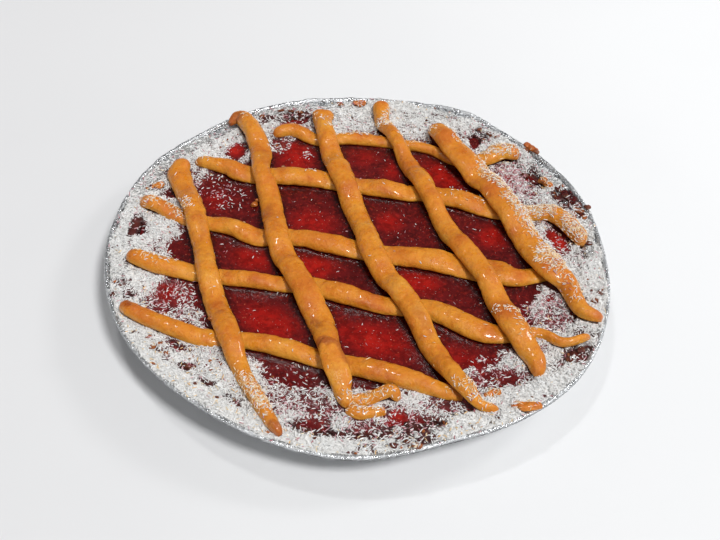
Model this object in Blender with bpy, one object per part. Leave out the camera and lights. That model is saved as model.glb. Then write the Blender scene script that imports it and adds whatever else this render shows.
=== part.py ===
"""Jam crostata in its round foil baking tin.

A pastry shell fills the tin, jam fills the shell, and a lattice of rolled pastry ropes lies over the jam:
five across, pressed down where they are crossed, and five laid over them. Desiccated coconut is scattered
in a broad ring round the edge. Lengths are in millimetres and become metres where a mesh is made.
The origin is the centre of the tin's foot, +Z is up, and the ropes laid last run from the back (+Y) to the front.
"""

import math
import random

import bmesh
import bpy
from mathutils import Vector, noise
from mathutils.bvhtree import BVHTree
from mathutils.geometry import delaunay_2d_cdt

MM = 0.001

# Tin
RIM_RADIUS = 140.0
RIM_HEIGHT = 24.0
FLANGE_WIDTH = 10.5
FOOT_RADIUS = 112.0
FOIL = 0.7
PANEL_RADIUS = 96.0
PANEL_RISE = 1.0
BEAD_RADIUS = 1.3
SECTORS = 72
THROAT_RADIUS = RIM_RADIUS - FLANGE_WIDTH

# The thin tin is bent out of round: where, by how much outwards, by how much upwards, and how widely.
RIM_WAVES = [
    # degrees, outwards, upwards, spread in degrees
    (-126, -1.3, 1.6, 17),
    (-91, 1.3, -1.4, 12),
    (-70, -1.2, 1.2, 9),
    (-37, 2.2, -1.2, 15),
    (2, -2.2, 0.0, 15),
    (64, 2.0, 2.4, 10),
    (94, -0.6, -0.6, 10),
    (137, -0.9, -0.9, 9),
    (158, 0.9, 0.0, 13),
]

# Pastry shell and jam
GAP = 0.35
SHELL_FLOOR = 13.0
WALL_SLOPE = (THROAT_RADIUS - 1.2 - FOOT_RADIUS) / (RIM_HEIGHT - 2.8)
SHELL_INNER_RADIUS = 124.4
JAM_LEVEL = 22.0
JAM_DIP = 0.9
COCONUT_INNER_RADIUS = 84.0
DRIFT_HEIGHT = 1.3
DRIFT_PITCH = 7.0
JAM_PITCH = 13.0

# Ropes
ROPE_HEIGHT = 7.6
PRESSED_HEIGHT = 4.4
CROSS_STEP = 9.5
OVER_STEP = 8.0

# The ropes pressed into the jam, listed from back to front, each as (x, y, width) along its middle.
CROSS_ROPES = {
    "cross_rope_1": [(-58, 96, 7), (-46, 100, 10), (-29, 92, 9), (-8, 95, 9), (36, 90, 7), (55, 79, 6),
                     (73, 81, 11), (85, 87, 12), (95, 85, 9)],
    "cross_rope_2": [(-102, 65, 7), (-81, 60, 11), (-70, 56, 14), (-25, 54, 13), (21, 47, 13), (41, 47, 14),
                     (77, 36, 14), (97, 34, 11), (111, 32, 11), (122, 18, 11), (125, 9, 8)],
    "cross_rope_3": [(-127, 24, 10), (-118, 22, 9), (-99, 14, 10), (-75, 9, 11), (-58, 2, 12), (-40, 4, 12),
                     (-7, -3, 13), (42, -10, 15), (73, -15, 18), (86, -19, 12), (108, -12, 9)],
    "cross_rope_4": [(-126, -19, 9), (-110, -25, 11), (-90, -28, 11), (-46, -33, 10), (-26, -33, 13),
                     (10, -44, 11), (38, -46, 13), (67, -60, 13), (94, -58, 6), (107, -65, 5), (121, -60, 4)],
    "cross_rope_5": [(-121, -57, 6), (-111, -63, 9), (-80, -74, 10), (-56, -74, 10), (-17, -83, 11),
                     (13, -90, 12), (42, -99, 9), (54, -103, 5)],
}

# The ropes laid over them, listed from left to right.
OVER_ROPES = {
    "over_rope_1": [(-112, 57, 15), (-109, 48, 14), (-95, 16, 12), (-85, -15, 11), (-78, -39, 12), (-62, -78, 12),
                    (-54, -96, 9), (-39, -122, 7), (-32, -132, 5)],
    "over_rope_2": [(-86, 101, 7), (-79, 106, 11), (-69, 90, 12), (-63, 73, 13), (-61, 54, 11), (-54, 35, 13),
                    (-44, -7, 13), (-26, -44, 14), (-17, -63, 13), (-9, -93, 10), (-1, -111, 8)],
    "over_rope_3": [(-28, 118, 15), (-27, 101, 11), (-16, 63, 14), (-1, 19, 13), (9, -14, 14), (27, -46, 13),
                    (45, -85, 11), (55, -102, 9), (62, -109, 5), (71, -110, 4)],
    "over_rope_4": [(9, 131, 11), (10, 112, 10), (19, 90, 9), (31, 62, 12), (41, 35, 11), (55, 2, 13),
                    (71, -29, 13), (81, -58, 14), (91, -77, 11), (92, -87, 7)],
    "over_rope_5": [(43, 109, 13), (52, 87, 15), (71, 59, 18), (79, 44, 17), (93, 13, 17), (104, -14, 18),
                    (113, -25, 12), (119, -43, 9), (129, -48, 7)],
}

# Branches where a rope's soft end tore and folded back: the rope it belongs to, and each branch's own middle line.
BRANCHES = {
    "over_rope_2": [
        [(-1, -107, 6), (6, -107, 7), (13, -105, 7), (19, -104, 7), (23, -107, 6)],
        [(-2, -112, 7), (4, -115, 6), (10, -114, 6), (17, -113, 5)],
    ],
}

# Loose bits of pastry: centre x, y, length, width, height and the way they point in degrees.
CHIPS = {
    "loose_chip_1": (85.0, -107.0, 17.0, 7.0, 3.5, 2),
    "loose_chip_2": (69.0, -99.3, 11.0, 7.0, 3.5, 25),
    "loose_chip_3": (-120.5, 40.5, 9.0, 6.0, 3.5, 35),
    "loose_chip_4": (109.5, 61.5, 11.0, 6.0, 3.5, -30),
    "loose_chip_5": (103.0, 94.0, 13.0, 6.0, 2.5, -45),
}

# Jam that boiled over the rim: angle in degrees, and its size along and across the flange.
SPILL_ANGLE = 21.5
SPILL_LENGTH = 24.0
SPILL_WIDTH = 6.4
SPILL_HEIGHT = 1.6

# Coconut shreds
SHRED_LENGTH = (3.6, 5.8)
SHRED_WIDTH = 1.1
SHRED_THICKNESS = 0.8
SHRED_SEED = 11
SHREDS_ON_JAM = 84
SHREDS_ON_SHELL = 16
SHREDS_ON_TIN = 14
SHREDS_ON_ROPE = {"over_rope_1": 6, "over_rope_5": 12, "over_rope_2": 4}


# Small maths

def smoothstep(t):
    t = min(1.0, max(0.0, t))
    return t * t * (3 - 2 * t)


def polar(radius, degrees):
    angle = math.radians(degrees)
    return radius * math.cos(angle), radius * math.sin(angle)


def spline(points, t):
    """The Catmull-Rom curve through points, at t from 0 to the number of points less one."""
    last = len(points) - 1
    i = min(int(t), last - 1)
    f = t - i
    picked = [points[min(max(k, 0), last)] for k in (i - 1, i, i + 1, i + 2)]
    return [
        0.5 * (2 * b + (c - a) * f + (2 * a - 5 * b + 4 * c - d) * f ** 2 + (3 * b - a - 3 * c + d) * f ** 3)
        for a, b, c, d in zip(*picked)
    ]


def lumps(x, y, pitch, seed):
    """Smooth noise from -1 to 1 whose lumps are about pitch apart."""
    return max(-1.0, min(1.0, 1.6 * noise.noise(Vector((x / pitch, y / pitch, seed * 7.3)))))


# Form of the bent tin

def rim_wave(degrees):
    """How far the rim stands outwards and upwards of a true circle at this angle."""
    outwards = upwards = 0.0
    for middle, out, up, spread in RIM_WAVES:
        off = (degrees - middle + 180) % 360 - 180
        share = math.exp(-((off / spread) ** 2))
        outwards += out * share
        upwards += up * share
    return outwards, upwards


def bend_share(radius):
    return smoothstep((radius - 95) / (THROAT_RADIUS - 95))


def bent(radius, height, degrees):
    """A point of the true round form, moved to where the bent tin has it."""
    outwards, upwards = rim_wave(degrees)
    share = bend_share(radius)
    x, y = polar(radius + share * outwards, degrees)
    return Vector((x, y, height + share * upwards * smoothstep(height / JAM_LEVEL)))


def flat_radius(x, y):
    """The radius that this place would have in the true round form, and its angle."""
    degrees = math.degrees(math.atan2(y, x))
    radius = math.hypot(x, y)
    return radius - bend_share(radius) * rim_wave(degrees)[0], degrees


def support(x, y):
    """The height of what lies under a rope here: jam, the shell's edge, the flange or its bead."""
    radius, degrees = flat_radius(x, y)
    edge = smoothstep((radius - 116) / 9)
    flange = smoothstep((radius - 124) / 4)
    bead = smoothstep((radius - 133) / 3)
    height = JAM_LEVEL + 1.3 * edge + (RIM_HEIGHT - JAM_LEVEL - 1.2) * flange + BEAD_RADIUS * bead
    return height + bend_share(radius) * rim_wave(degrees)[1]


# Ropes as lines

def route(points, step):
    """Even stations along a smooth line: lists of (x, y, width)."""
    fine = [spline(points, i / 20) for i in range(20 * (len(points) - 1) + 1)]
    length = sum(math.dist(a[:2], b[:2]) for a, b in zip(fine, fine[1:]))
    count = max(4, round(length / step))
    stations, walked, target = [fine[0]], 0.0, length / count
    for a, b in zip(fine, fine[1:]):
        walked += math.dist(a[:2], b[:2])
        if walked >= target - 1e-6 and len(stations) < count:
            stations.append(b)
            target += length / count
    stations.append(fine[-1])
    return stations


CROSS_LINES = {name: route(points, 4.0) for name, points in CROSS_ROPES.items()}
OVER_LINES = {name: route(points, 4.0) for name, points in OVER_ROPES.items()}
BRANCH_LINES = [route(points, 3.0) for several in BRANCHES.values() for points in several]
CHIP_LINES = [[(x, y, length)] for x, y, length, _, _, _ in CHIPS.values()]
ALL_LINES = [*CROSS_LINES.values(), *OVER_LINES.values(), *BRANCH_LINES, *CHIP_LINES]


def edge_distance(x, y, lines):
    """How far this place is outside the nearest of these ropes. It is negative under one."""
    return min(math.hypot(x - px, y - py) - width / 2 for line in lines for px, py, width in line)


def pressed(x, y):
    """From 0 to 1, how much a crossing rope is pressed flat here by the rope over it."""
    return smoothstep(1 - (edge_distance(x, y, OVER_LINES.values()) - 3.0) / 6.0)


def lifted(x, y):
    """From 0 to 1, how far a rope laid over is carried here by the rope under it."""
    return smoothstep(1 - (edge_distance(x, y, CROSS_LINES.values()) - 0.5) / 9.0)


# Meshes

def material(name, colour, roughness, metallic=0.0):
    made = bpy.data.materials.get(name) or bpy.data.materials.new(name)
    made.use_nodes = True
    shader = made.node_tree.nodes["Principled BSDF"]
    shader.inputs["Base Color"].default_value = (*colour, 1.0)
    shader.inputs["Roughness"].default_value = roughness
    shader.inputs["Metallic"].default_value = metallic
    return made


def foil():
    return material("foil", (0.78, 0.79, 0.80), 0.28, 1.0)


def pastry():
    return material("pastry", (0.82, 0.42, 0.11), 0.45)


def shell_pastry():
    return material("shell_pastry", (0.80, 0.52, 0.24), 0.7)


def jam_red():
    return material("jam", (0.33, 0.02, 0.02), 0.12)


def add_mesh(name, points, faces, finish, collection=None):
    """An object from points in millimetres."""
    mesh = bpy.data.meshes.new(name)
    mesh.from_pydata([Vector(p) * MM for p in points], [], faces)
    mesh.materials.append(finish)
    mesh.validate()
    mesh.shade_smooth()
    mesh.set_sharp_from_angle(angle=math.radians(50))
    made = bpy.data.objects.new(name, mesh)
    (collection or bpy.context.scene.collection).objects.link(made)
    return made


def turned(name, profile, sectors, finish, relief=None):
    """A closed body from a profile of (radius, height) that runs from the axis below to the axis above, facing out."""
    points, faces = [], []
    for radius, height in profile[1:-1]:
        for k in range(sectors):
            degrees = 360 * k / sectors
            point = bent(radius, height, degrees)
            points.append(point + relief(radius, height, point) if relief else point)
    rings = len(profile) - 2
    for ring in range(rings - 1):
        for k in range(sectors):
            a, b = ring * sectors + k, ring * sectors + (k + 1) % sectors
            faces.append((a, b, b + sectors, a + sectors))
    below, above = len(points), len(points) + 1
    points += [Vector((0, 0, profile[0][1])), Vector((0, 0, profile[-1][1]))]
    top = (rings - 1) * sectors
    for k in range(sectors):
        after = (k + 1) % sectors
        faces.append((below, after, k))
        faces.append((above, top + k, top + after))
    return add_mesh(name, points, faces, finish)


# The round cross section of a rope, as shares of its half width and its height, anticlockwise from below left.
ROPE_SECTION = [(-0.80, 0.0), (0.80, 0.0), (1.0, 0.36), (0.74, 0.80), (0.0, 1.0), (-0.74, 0.80), (-1.0, 0.36)]


def swept(name, stations, floor_of, height_of, finish, collection=None):
    """A rope along stations of (x, y, width), with its underside at floor_of and its height from height_of."""
    points, faces = [], []
    last = len(stations) - 1
    for i, (x, y, width) in enumerate(stations):
        before, after = stations[max(i - 1, 0)], stations[min(i + 1, last)]
        along = Vector((after[0] - before[0], after[1] - before[1])).normalized()
        tip = 0.62 if i in (0, last) else 1.0
        low, tall = floor_of(i), height_of(i) * (0.6 if i in (0, last) else 1.0)
        for across, up in ROPE_SECTION:
            side = across * width / 2 * tip
            points.append(Vector((x + along.y * side, y - along.x * side, low + up * tall)))
    size = len(ROPE_SECTION)
    for i in range(last):
        for k in range(size):
            a, b = i * size + k, i * size + (k + 1) % size
            faces.append((a, a + size, b + size, b))
    faces.append(tuple(range(size)))
    faces.append(tuple(last * size + k for k in reversed(range(size))))
    return add_mesh(name, points, faces, finish, collection)


def highest_across(stations, height):
    """At each station, the highest of height(x, y) over the rope's width."""
    last = len(stations) - 1
    highest = []
    for i, (x, y, width) in enumerate(stations):
        before, after = stations[max(i - 1, 0)], stations[min(i + 1, last)]
        along = Vector((after[0] - before[0], after[1] - before[1])).normalized()
        sides = [share * width / 2 for share in (-0.9, -0.45, 0, 0.45, 0.9)]
        highest.append(max(height(x + along.y * s, y - along.x * s) for s in sides))
    return highest


def floor_under(stations):
    """The height of a rope's underside at each station, clear of what lies under it there and beside it."""
    highest = highest_across(stations, support)
    return [max(highest[max(i - 1, 0):i + 2]) + GAP for i in range(len(stations))]


# Pieces

def build_tin():
    throat, low, high = THROAT_RADIUS, RIM_HEIGHT - FOIL, RIM_HEIGHT
    bead = RIM_RADIUS - BEAD_RADIUS
    outside = [
        (0, PANEL_RISE), (PANEL_RADIUS, PANEL_RISE), (PANEL_RADIUS + 2, 0), (FOOT_RADIUS - 2, 0),
        (FOOT_RADIUS + 0.6, 1.2), (throat - 1.0, low - 0.9), (throat + 0.6, low), (bead - 1.4, low),
    ]
    rolled = [(bead + BEAD_RADIUS * math.cos(a), high + BEAD_RADIUS * math.sin(a))
              for a in map(math.radians, (-80, -10, 55, 125))]
    inside = [
        (bead - 1.6, high), (throat + 0.2, high), (throat - 1.2, high - 0.8), (FOOT_RADIUS, 2.0),
        (FOOT_RADIUS - 0.8, PANEL_RISE + FOIL), (0, PANEL_RISE + FOIL),
    ]
    return turned("foil_tin", outside + rolled + inside, SECTORS, foil())


def build_shell():
    """The baked pastry shell, which lines the tin. Its crumbly edge shows between the coconut and the flange."""
    under = PANEL_RISE + FOIL + GAP
    foot = FOOT_RADIUS - 0.8
    depth = JAM_LEVEL - SHELL_FLOOR
    profile = [
        (0, under), (foot, under), (foot + WALL_SLOPE * 9.0, 11.0), (foot + WALL_SLOPE * 20.0, 22.0),
        (foot + WALL_SLOPE * 20.4, 23.0), (SHELL_INNER_RADIUS + 0.9, 23.3), (SHELL_INNER_RADIUS + 0.2, 22.2),
        (SHELL_INNER_RADIUS - WALL_SLOPE * depth, SHELL_FLOOR), (0, SHELL_FLOOR),
    ]

    def crumbs(radius, height, point):
        if height < 22.1 or height > 23.5:
            return Vector((0, 0, 0))
        share = smoothstep((edge_distance(point.x, point.y, ALL_LINES) - 2) / 5)
        return Vector((0, 0, share * 0.7 * lumps(point.x, point.y, 6.0, 3)))

    return turned("pastry_shell", profile, SECTORS, shell_pastry(), crumbs)


def jam_height(x, y):
    """The jam sags a little between the ropes, and the coconut on it stands in low drifts."""
    radius, degrees = flat_radius(x, y)
    clear = smoothstep((edge_distance(x, y, ALL_LINES) - 1.5) / 7)
    drift = smoothstep((radius - COCONUT_INNER_RADIUS) / 14)
    sag = -JAM_DIP * (0.5 + 0.5 * lumps(x, y, 24.0, 5)) * (1 - drift)
    heap = DRIFT_HEIGHT * (0.35 + 0.65 * lumps(x, y, 8.0, 9)) * drift
    return JAM_LEVEL + clear * (sag + heap) + bend_share(radius) * rim_wave(degrees)[1]


def build_jam():
    """The jam: a disc whose top is a net of triangles, finer in the ring where the coconut drifts lie."""
    draw = random.Random(5)
    edge = SHELL_INNER_RADIUS - 2 * GAP
    low_edge = edge - WALL_SLOPE * (JAM_LEVEL - SHELL_FLOOR - GAP)
    flat = [polar(edge, 360 * k / SECTORS) for k in range(SECTORS)]
    rings = [(edge - 4.5 - 5.6 * i, DRIFT_PITCH) for i in range(6)] + [(12.5 * i, JAM_PITCH) for i in range(1, 7)]
    for radius, pitch in rings:
        count = round(2 * math.pi * radius / pitch)
        for k in range(count):
            flat.append(polar(radius + draw.uniform(-1, 1), 360 * (k + draw.uniform(-0.2, 0.2)) / count))
    flat.append((0.0, 0.0))
    border = [(k, (k + 1) % SECTORS) for k in range(SECTORS)]
    net = delaunay_2d_cdt([Vector(p) for p in flat], border, [], 1, 1e-4)
    points = []
    for place in net[0]:
        radius, degrees = place.length, math.degrees(math.atan2(place.y, place.x))
        top = bent(radius, JAM_LEVEL, degrees)
        points.append(Vector((top.x, top.y, jam_height(top.x, top.y))))
    faces = [tuple(face) for face in net[2]]
    below = len(points)
    for k in range(SECTORS):
        points.append(bent(low_edge, SHELL_FLOOR + GAP, 360 * k / SECTORS))
        after = (k + 1) % SECTORS
        faces.append((k, below + k, below + after, after))
    points.append(Vector((0, 0, SHELL_FLOOR + GAP)))
    for k in range(SECTORS):
        faces.append((below + SECTORS, below + (k + 1) % SECTORS, below + k))
    return add_mesh("jam", points, faces, jam_red())


def build_cross_rope(name, points):
    stations = route(points, CROSS_STEP)
    floor = floor_under(stations)

    def height(i):
        x, y, width = stations[i]
        full = ROPE_HEIGHT * min(1.0, 0.35 + width / 18)
        return full + (min(full, PRESSED_HEIGHT) - full) * pressed(x, y)

    return swept(name, stations, lambda i: floor[i], height, pastry())


def floor_over(stations):
    """As floor_under, for a rope that also rides over the ropes across it."""
    rises = highest_across(stations, lifted)
    return [low + (PRESSED_HEIGHT + 2 * GAP) * rise for low, rise in zip(floor_under(stations), rises)]


def build_over_rope(name, points):
    stations = route(points, OVER_STEP)
    floor = floor_over(stations)

    def height(i):
        x, y, width = stations[i]
        return ROPE_HEIGHT * min(1.0, 0.35 + width / 18) - 1.2 * lifted(x, y)

    rope = swept(name, stations, lambda i: floor[i], height, pastry())
    if name in BRANCHES:
        ends = bpy.data.collections.new(name + "_branches")
        bpy.context.scene.collection.children.link(ends)
        for n, line in enumerate(BRANCHES[name]):
            branch = route(line, 4.0)
            under = floor_over(branch)
            swept(f"branch_{n}", branch, lambda i: under[i], lambda i: 4.6, pastry(), ends)
        join(rope, ends)
    return rope


def build_chip(name, x, y, length, width, height, degrees):
    """A torn bit of pastry: a short rope with uneven ends."""
    ux, uy = polar(1, degrees)
    shares = [(-0.5, 0.5), (-0.2, 1.0), (0.15, 0.9), (0.5, 0.45)]
    stations = [(x + s * length * ux, y + s * length * uy, w * width) for s, w in shares]
    under = max(floor_under(stations))
    return swept(name, stations, lambda i: under, lambda i: height, pastry())


def build_spill():
    """Jam that boiled over on to the flange and set there, in a shallow uneven drop."""
    around, radius = 20, THROAT_RADIUS + 0.5 + SPILL_WIDTH / 2
    outwards, upwards = rim_wave(SPILL_ANGLE)
    cx, cy = polar(radius + outwards, SPILL_ANGLE)
    points = []
    for size, height in ((1.0, 0.0), (0.96, 0.55), (0.55, 1.0)):
        for k in range(around):
            a = 2 * math.pi * k / around
            uneven = size * (1 + 0.14 * math.sin(3 * a + 1) + 0.08 * math.sin(5 * a))
            out, along = uneven * SPILL_WIDTH / 2 * math.cos(a), uneven * SPILL_LENGTH / 2 * math.sin(a)
            turn = math.radians(SPILL_ANGLE) + along / radius
            place = (radius + outwards + out) * Vector((math.cos(turn), math.sin(turn)))
            lift = rim_wave(math.degrees(turn))[1]
            points.append(Vector((place.x, place.y, RIM_HEIGHT + 0.6 + lift + height * SPILL_HEIGHT)))
    faces = []
    for ring in range(2):
        for k in range(around):
            a, b = ring * around + k, ring * around + (k + 1) % around
            faces.append((a, b, b + around, a + around))
    low = RIM_HEIGHT + 0.6 + upwards
    points += [Vector((cx, cy, low)), Vector((cx, cy, low + SPILL_HEIGHT))]
    for k in range(around):
        faces.append((3 * around, (k + 1) % around, k))
        faces.append((3 * around + 1, 2 * around + k, 2 * around + (k + 1) % around))
    return add_mesh("jam_spill", points, faces, jam_red())


# Coconut

def shred(name, place, slope, degrees, length, collection, finish):
    """A thin bent flake, half sunk in what it lies on."""
    ux, uy = polar(1, degrees)
    points = []
    for share, width in ((-0.5, 0.55), (0.0, 1.0), (0.5, 0.6)):
        curl = 0.35 * (1 - 4 * share * share)
        middle = place + Vector((ux, uy, 0)) * share * length + Vector((0, 0, share * length * slope + curl - 0.1))
        for across, up in ((-0.5, -0.5), (0.5, -0.5), (0.5, 0.5), (-0.5, 0.5)):
            side = across * width * SHRED_WIDTH
            points.append(middle + Vector((uy * side, -ux * side, up * SHRED_THICKNESS)))
    faces = [(0, 1, 2, 3), (11, 10, 9, 8)]
    for ring in (0, 4):
        for k in range(4):
            a, b = ring + k, ring + (k + 1) % 4
            faces.append((a, a + 4, b + 4, b))
    return add_mesh(name, points, faces, finish, collection)


def keep_body(mesh):
    """Drops loose scraps and the skins of sealed hollows, which leaves the largest body, without hollows."""
    work = bmesh.new()
    work.from_mesh(mesh)
    left, largest = set(work.verts), set()
    while left:
        reached, body = [left.pop()], set()
        while reached:
            vertex = reached.pop()
            body.add(vertex)
            for edge in vertex.link_edges:
                other = edge.other_vert(vertex)
                if other in left:
                    left.remove(other)
                    reached.append(other)
        largest = max(largest, body, key=len)
    bmesh.ops.delete(work, geom=[v for v in work.verts if v not in largest], context="VERTS")
    work.to_mesh(mesh)
    work.free()


def join(target, collection):
    """One union of the collection's objects with the target, applied, and the objects removed."""
    union = target.modifiers.new("join", "BOOLEAN")
    union.operation = "UNION"
    union.operand_type = "COLLECTION"
    union.collection = collection
    union.solver = "MANIFOLD"
    graph = bpy.context.evaluated_depsgraph_get()
    made = bpy.data.meshes.new_from_object(target.evaluated_get(graph))
    keep_body(made)
    target.modifiers.clear()
    target.data = made
    for piece in list(collection.objects):
        bpy.data.objects.remove(piece)
    bpy.data.collections.remove(collection)


def scatter(target, places, draw, along_rim=False):
    """Fuses a shred to the target's top at each of these places, pointing any way or nearly along the rim."""
    flakes = bpy.data.collections.new(target.name + "_coconut")
    bpy.context.scene.collection.children.link(flakes)
    graph = bpy.context.evaluated_depsgraph_get()
    tree = BVHTree.FromObject(target, graph)
    finish = target.data.materials[0]
    for n, (x, y) in enumerate(places):
        hit = tree.ray_cast(Vector((x, y, 60)) * MM, Vector((0, 0, -1)))[0]
        if hit:
            slope, degrees = draw.uniform(-0.15, 0.15), draw.uniform(0, 180)
            if along_rim:
                degrees = math.degrees(math.atan2(y, x)) + 60 + degrees / 3
            shred(f"flake_{n}", hit / MM, slope, degrees, draw.uniform(*SHRED_LENGTH), flakes, finish)
    join(target, flakes)


def spread(count, inner, outer, clearance, draw, lines):
    """Places drawn evenly over a ring, kept clear of the ropes and of each other's middles."""
    places = []
    while len(places) < count:
        radius = math.sqrt(draw.uniform(inner ** 2, outer ** 2))
        degrees = draw.uniform(-180, 180)
        place = bent(radius, RIM_HEIGHT, degrees)
        near = any(math.dist((place.x, place.y), other) < 3.2 for other in places)
        if not near and edge_distance(place.x, place.y, lines) > clearance:
            places.append((place.x, place.y))
    return places


def scatter_coconut(pieces):
    draw = random.Random(SHRED_SEED)
    clear = max(SHRED_LENGTH) / 2 + 1.2
    spill = [[(*polar(THROAT_RADIUS + 4, SPILL_ANGLE + turn), 12) for turn in (-4, 0, 4)]]
    around = ALL_LINES + spill
    scatter(pieces["jam"], spread(SHREDS_ON_JAM, 86, SHELL_INNER_RADIUS - 5, clear, draw, around), draw)
    shell_edge = (SHELL_INNER_RADIUS + 0.8, SHELL_INNER_RADIUS + 1.4)
    scatter(pieces["pastry_shell"], spread(SHREDS_ON_SHELL, *shell_edge, clear, draw, around), draw, True)
    flange = (THROAT_RADIUS + 3.2, THROAT_RADIUS + 4.4)
    scatter(pieces["foil_tin"], spread(SHREDS_ON_TIN, *flange, clear, draw, around), draw, True)
    for name, count in SHREDS_ON_ROPE.items():
        line = OVER_LINES[name]
        part = line[len(line) // 3:-3] if name == "over_rope_5" else line[-14:-3]
        picked = [part[(k * len(part)) // count] for k in range(count)]
        scatter(pieces[name], [(x + draw.uniform(-2, 2), y) for x, y, _ in picked], draw)


def main():
    for old in list(bpy.data.objects):
        bpy.data.objects.remove(old)
    pieces = {"foil_tin": build_tin(), "pastry_shell": build_shell(), "jam": build_jam()}
    for name, points in CROSS_ROPES.items():
        pieces[name] = build_cross_rope(name, points)
    for name, points in OVER_ROPES.items():
        pieces[name] = build_over_rope(name, points)
    for name, sizes in CHIPS.items():
        pieces[name] = build_chip(name, *sizes)
    pieces["jam_spill"] = build_spill()
    scatter_coconut(pieces)
    crostata = bpy.data.objects.new("crostata", None)
    bpy.context.scene.collection.objects.link(crostata)
    for piece in pieces.values():
        piece.parent = crostata


main()
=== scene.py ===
"""Looks of the jam crostata in its foil tin. Lengths are in millimetres until a mesh is made.

The tables of the bent tin, the ropes and the loose bits repeat the CAD's own numbers, so each piece lies where its
solid does. Only the head of over_rope_1 differs: it is narrower here and ends a little further to the right.
"""

import math

import bmesh
import bpy
import numpy as np
from mathutils import Matrix, Vector
from mathutils.bvhtree import BVHTree


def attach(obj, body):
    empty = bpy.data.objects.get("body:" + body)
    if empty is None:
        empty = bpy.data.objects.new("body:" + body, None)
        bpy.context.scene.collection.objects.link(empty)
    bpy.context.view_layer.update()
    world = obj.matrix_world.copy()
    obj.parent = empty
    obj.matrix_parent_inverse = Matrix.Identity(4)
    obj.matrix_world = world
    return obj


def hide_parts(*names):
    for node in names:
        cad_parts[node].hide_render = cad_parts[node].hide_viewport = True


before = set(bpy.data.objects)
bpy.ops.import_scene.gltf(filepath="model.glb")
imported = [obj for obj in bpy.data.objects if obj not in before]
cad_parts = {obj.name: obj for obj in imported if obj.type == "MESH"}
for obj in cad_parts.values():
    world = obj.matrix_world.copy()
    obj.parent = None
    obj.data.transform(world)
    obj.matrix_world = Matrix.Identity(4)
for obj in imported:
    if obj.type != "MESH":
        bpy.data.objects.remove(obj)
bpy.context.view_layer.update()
MM = 0.001

# Tin, shell and jam, as in the CAD
RIM_RADIUS = 140.0
RIM_HEIGHT = 24.0
FLANGE_WIDTH = 10.5
FOOT_RADIUS = 112.0
FOIL = 0.7
PANEL_RADIUS = 96.0
PANEL_RISE = 1.0
BEAD_RADIUS = 1.3
THROAT_RADIUS = RIM_RADIUS - FLANGE_WIDTH
GAP = 0.35
SHELL_FLOOR = 13.0
SHELL_INNER_RADIUS = 124.4
WALL_SLOPE = (THROAT_RADIUS - 1.2 - FOOT_RADIUS) / (RIM_HEIGHT - 2.8)
JAM_LEVEL = 22.0
RIM_WAVES = [
    # degrees, outwards, upwards, spread in degrees
    (-126, -1.3, 1.6, 17), (-91, 1.3, -1.4, 12), (-70, -1.2, 1.2, 9), (-37, 2.2, -1.2, 15), (2, -2.2, 0.0, 15),
    (64, 2.0, 2.4, 10), (94, -0.6, -0.6, 10), (137, -0.9, -0.9, 9), (158, 0.9, 0.0, 13),
]

# Ropes, as in the CAD but for the first three places of over_rope_1: (x, y, width) along each one's middle
ROPE_HEIGHT = 7.6
PRESSED_HEIGHT = 4.4
CROSS_STEP = 9.5
OVER_STEP = 8.0
CROSS_ROPES = {
    "cross_rope_1": [(-58, 96, 7), (-46, 100, 10), (-29, 92, 9), (-8, 95, 9), (36, 90, 7), (55, 79, 6),
                     (73, 81, 11), (85, 87, 12), (95, 85, 9)],
    "cross_rope_2": [(-102, 65, 7), (-81, 60, 11), (-70, 56, 14), (-25, 54, 13), (21, 47, 13), (41, 47, 14),
                     (77, 36, 14), (97, 34, 11), (111, 32, 11), (122, 18, 11), (125, 9, 8)],
    "cross_rope_3": [(-127, 24, 10), (-118, 22, 9), (-99, 14, 10), (-75, 9, 11), (-58, 2, 12), (-40, 4, 12),
                     (-7, -3, 13), (42, -10, 15), (73, -15, 18), (86, -19, 12), (108, -12, 9)],
    "cross_rope_4": [(-126, -19, 9), (-110, -25, 11), (-90, -28, 11), (-46, -33, 10), (-26, -33, 13),
                     (10, -44, 11), (38, -46, 13), (67, -60, 13), (94, -58, 6), (107, -65, 5), (121, -60, 4)],
    "cross_rope_5": [(-121, -57, 6), (-111, -63, 9), (-80, -74, 10), (-56, -74, 10), (-17, -83, 11),
                     (13, -90, 12), (42, -99, 9), (54, -103, 5)],
}
OVER_ROPES = {
    "over_rope_1": [(-106.5, 60, 9), (-109.3, 51, 13.5), (-106.0, 42, 13), (-95, 16, 12), (-85, -15, 11),
                    (-78, -39, 12), (-62, -78, 12), (-54, -96, 9), (-39, -122, 7), (-32, -132, 5)],
    "over_rope_2": [(-86, 101, 7), (-79, 106, 11), (-69, 90, 12), (-63, 73, 13), (-61, 54, 11), (-54, 35, 13),
                    (-44, -7, 13), (-26, -44, 14), (-17, -63, 13), (-9, -93, 10), (-1, -111, 8)],
    "over_rope_3": [(-28, 118, 15), (-27, 101, 11), (-16, 63, 14), (-1, 19, 13), (9, -14, 14), (27, -46, 13),
                    (45, -85, 11), (55, -102, 9), (62, -109, 5), (71, -110, 4)],
    "over_rope_4": [(9, 131, 11), (10, 112, 10), (19, 90, 9), (31, 62, 12), (41, 35, 11), (55, 2, 13),
                    (71, -29, 13), (81, -58, 14), (91, -77, 11), (92, -87, 7)],
    "over_rope_5": [(43, 109, 13), (52, 87, 15), (71, 59, 18), (79, 44, 17), (93, 13, 17), (104, -14, 18),
                    (113, -25, 12), (119, -43, 9), (129, -48, 7)],
}
BRANCHES = {
    "over_rope_2": [
        [(-1, -107, 6), (6, -107, 7), (13, -105, 7), (19, -104, 7), (23, -107, 6)],
        [(-2, -112, 7), (4, -115, 6), (10, -114, 6), (17, -113, 5)],
    ],
}
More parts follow.
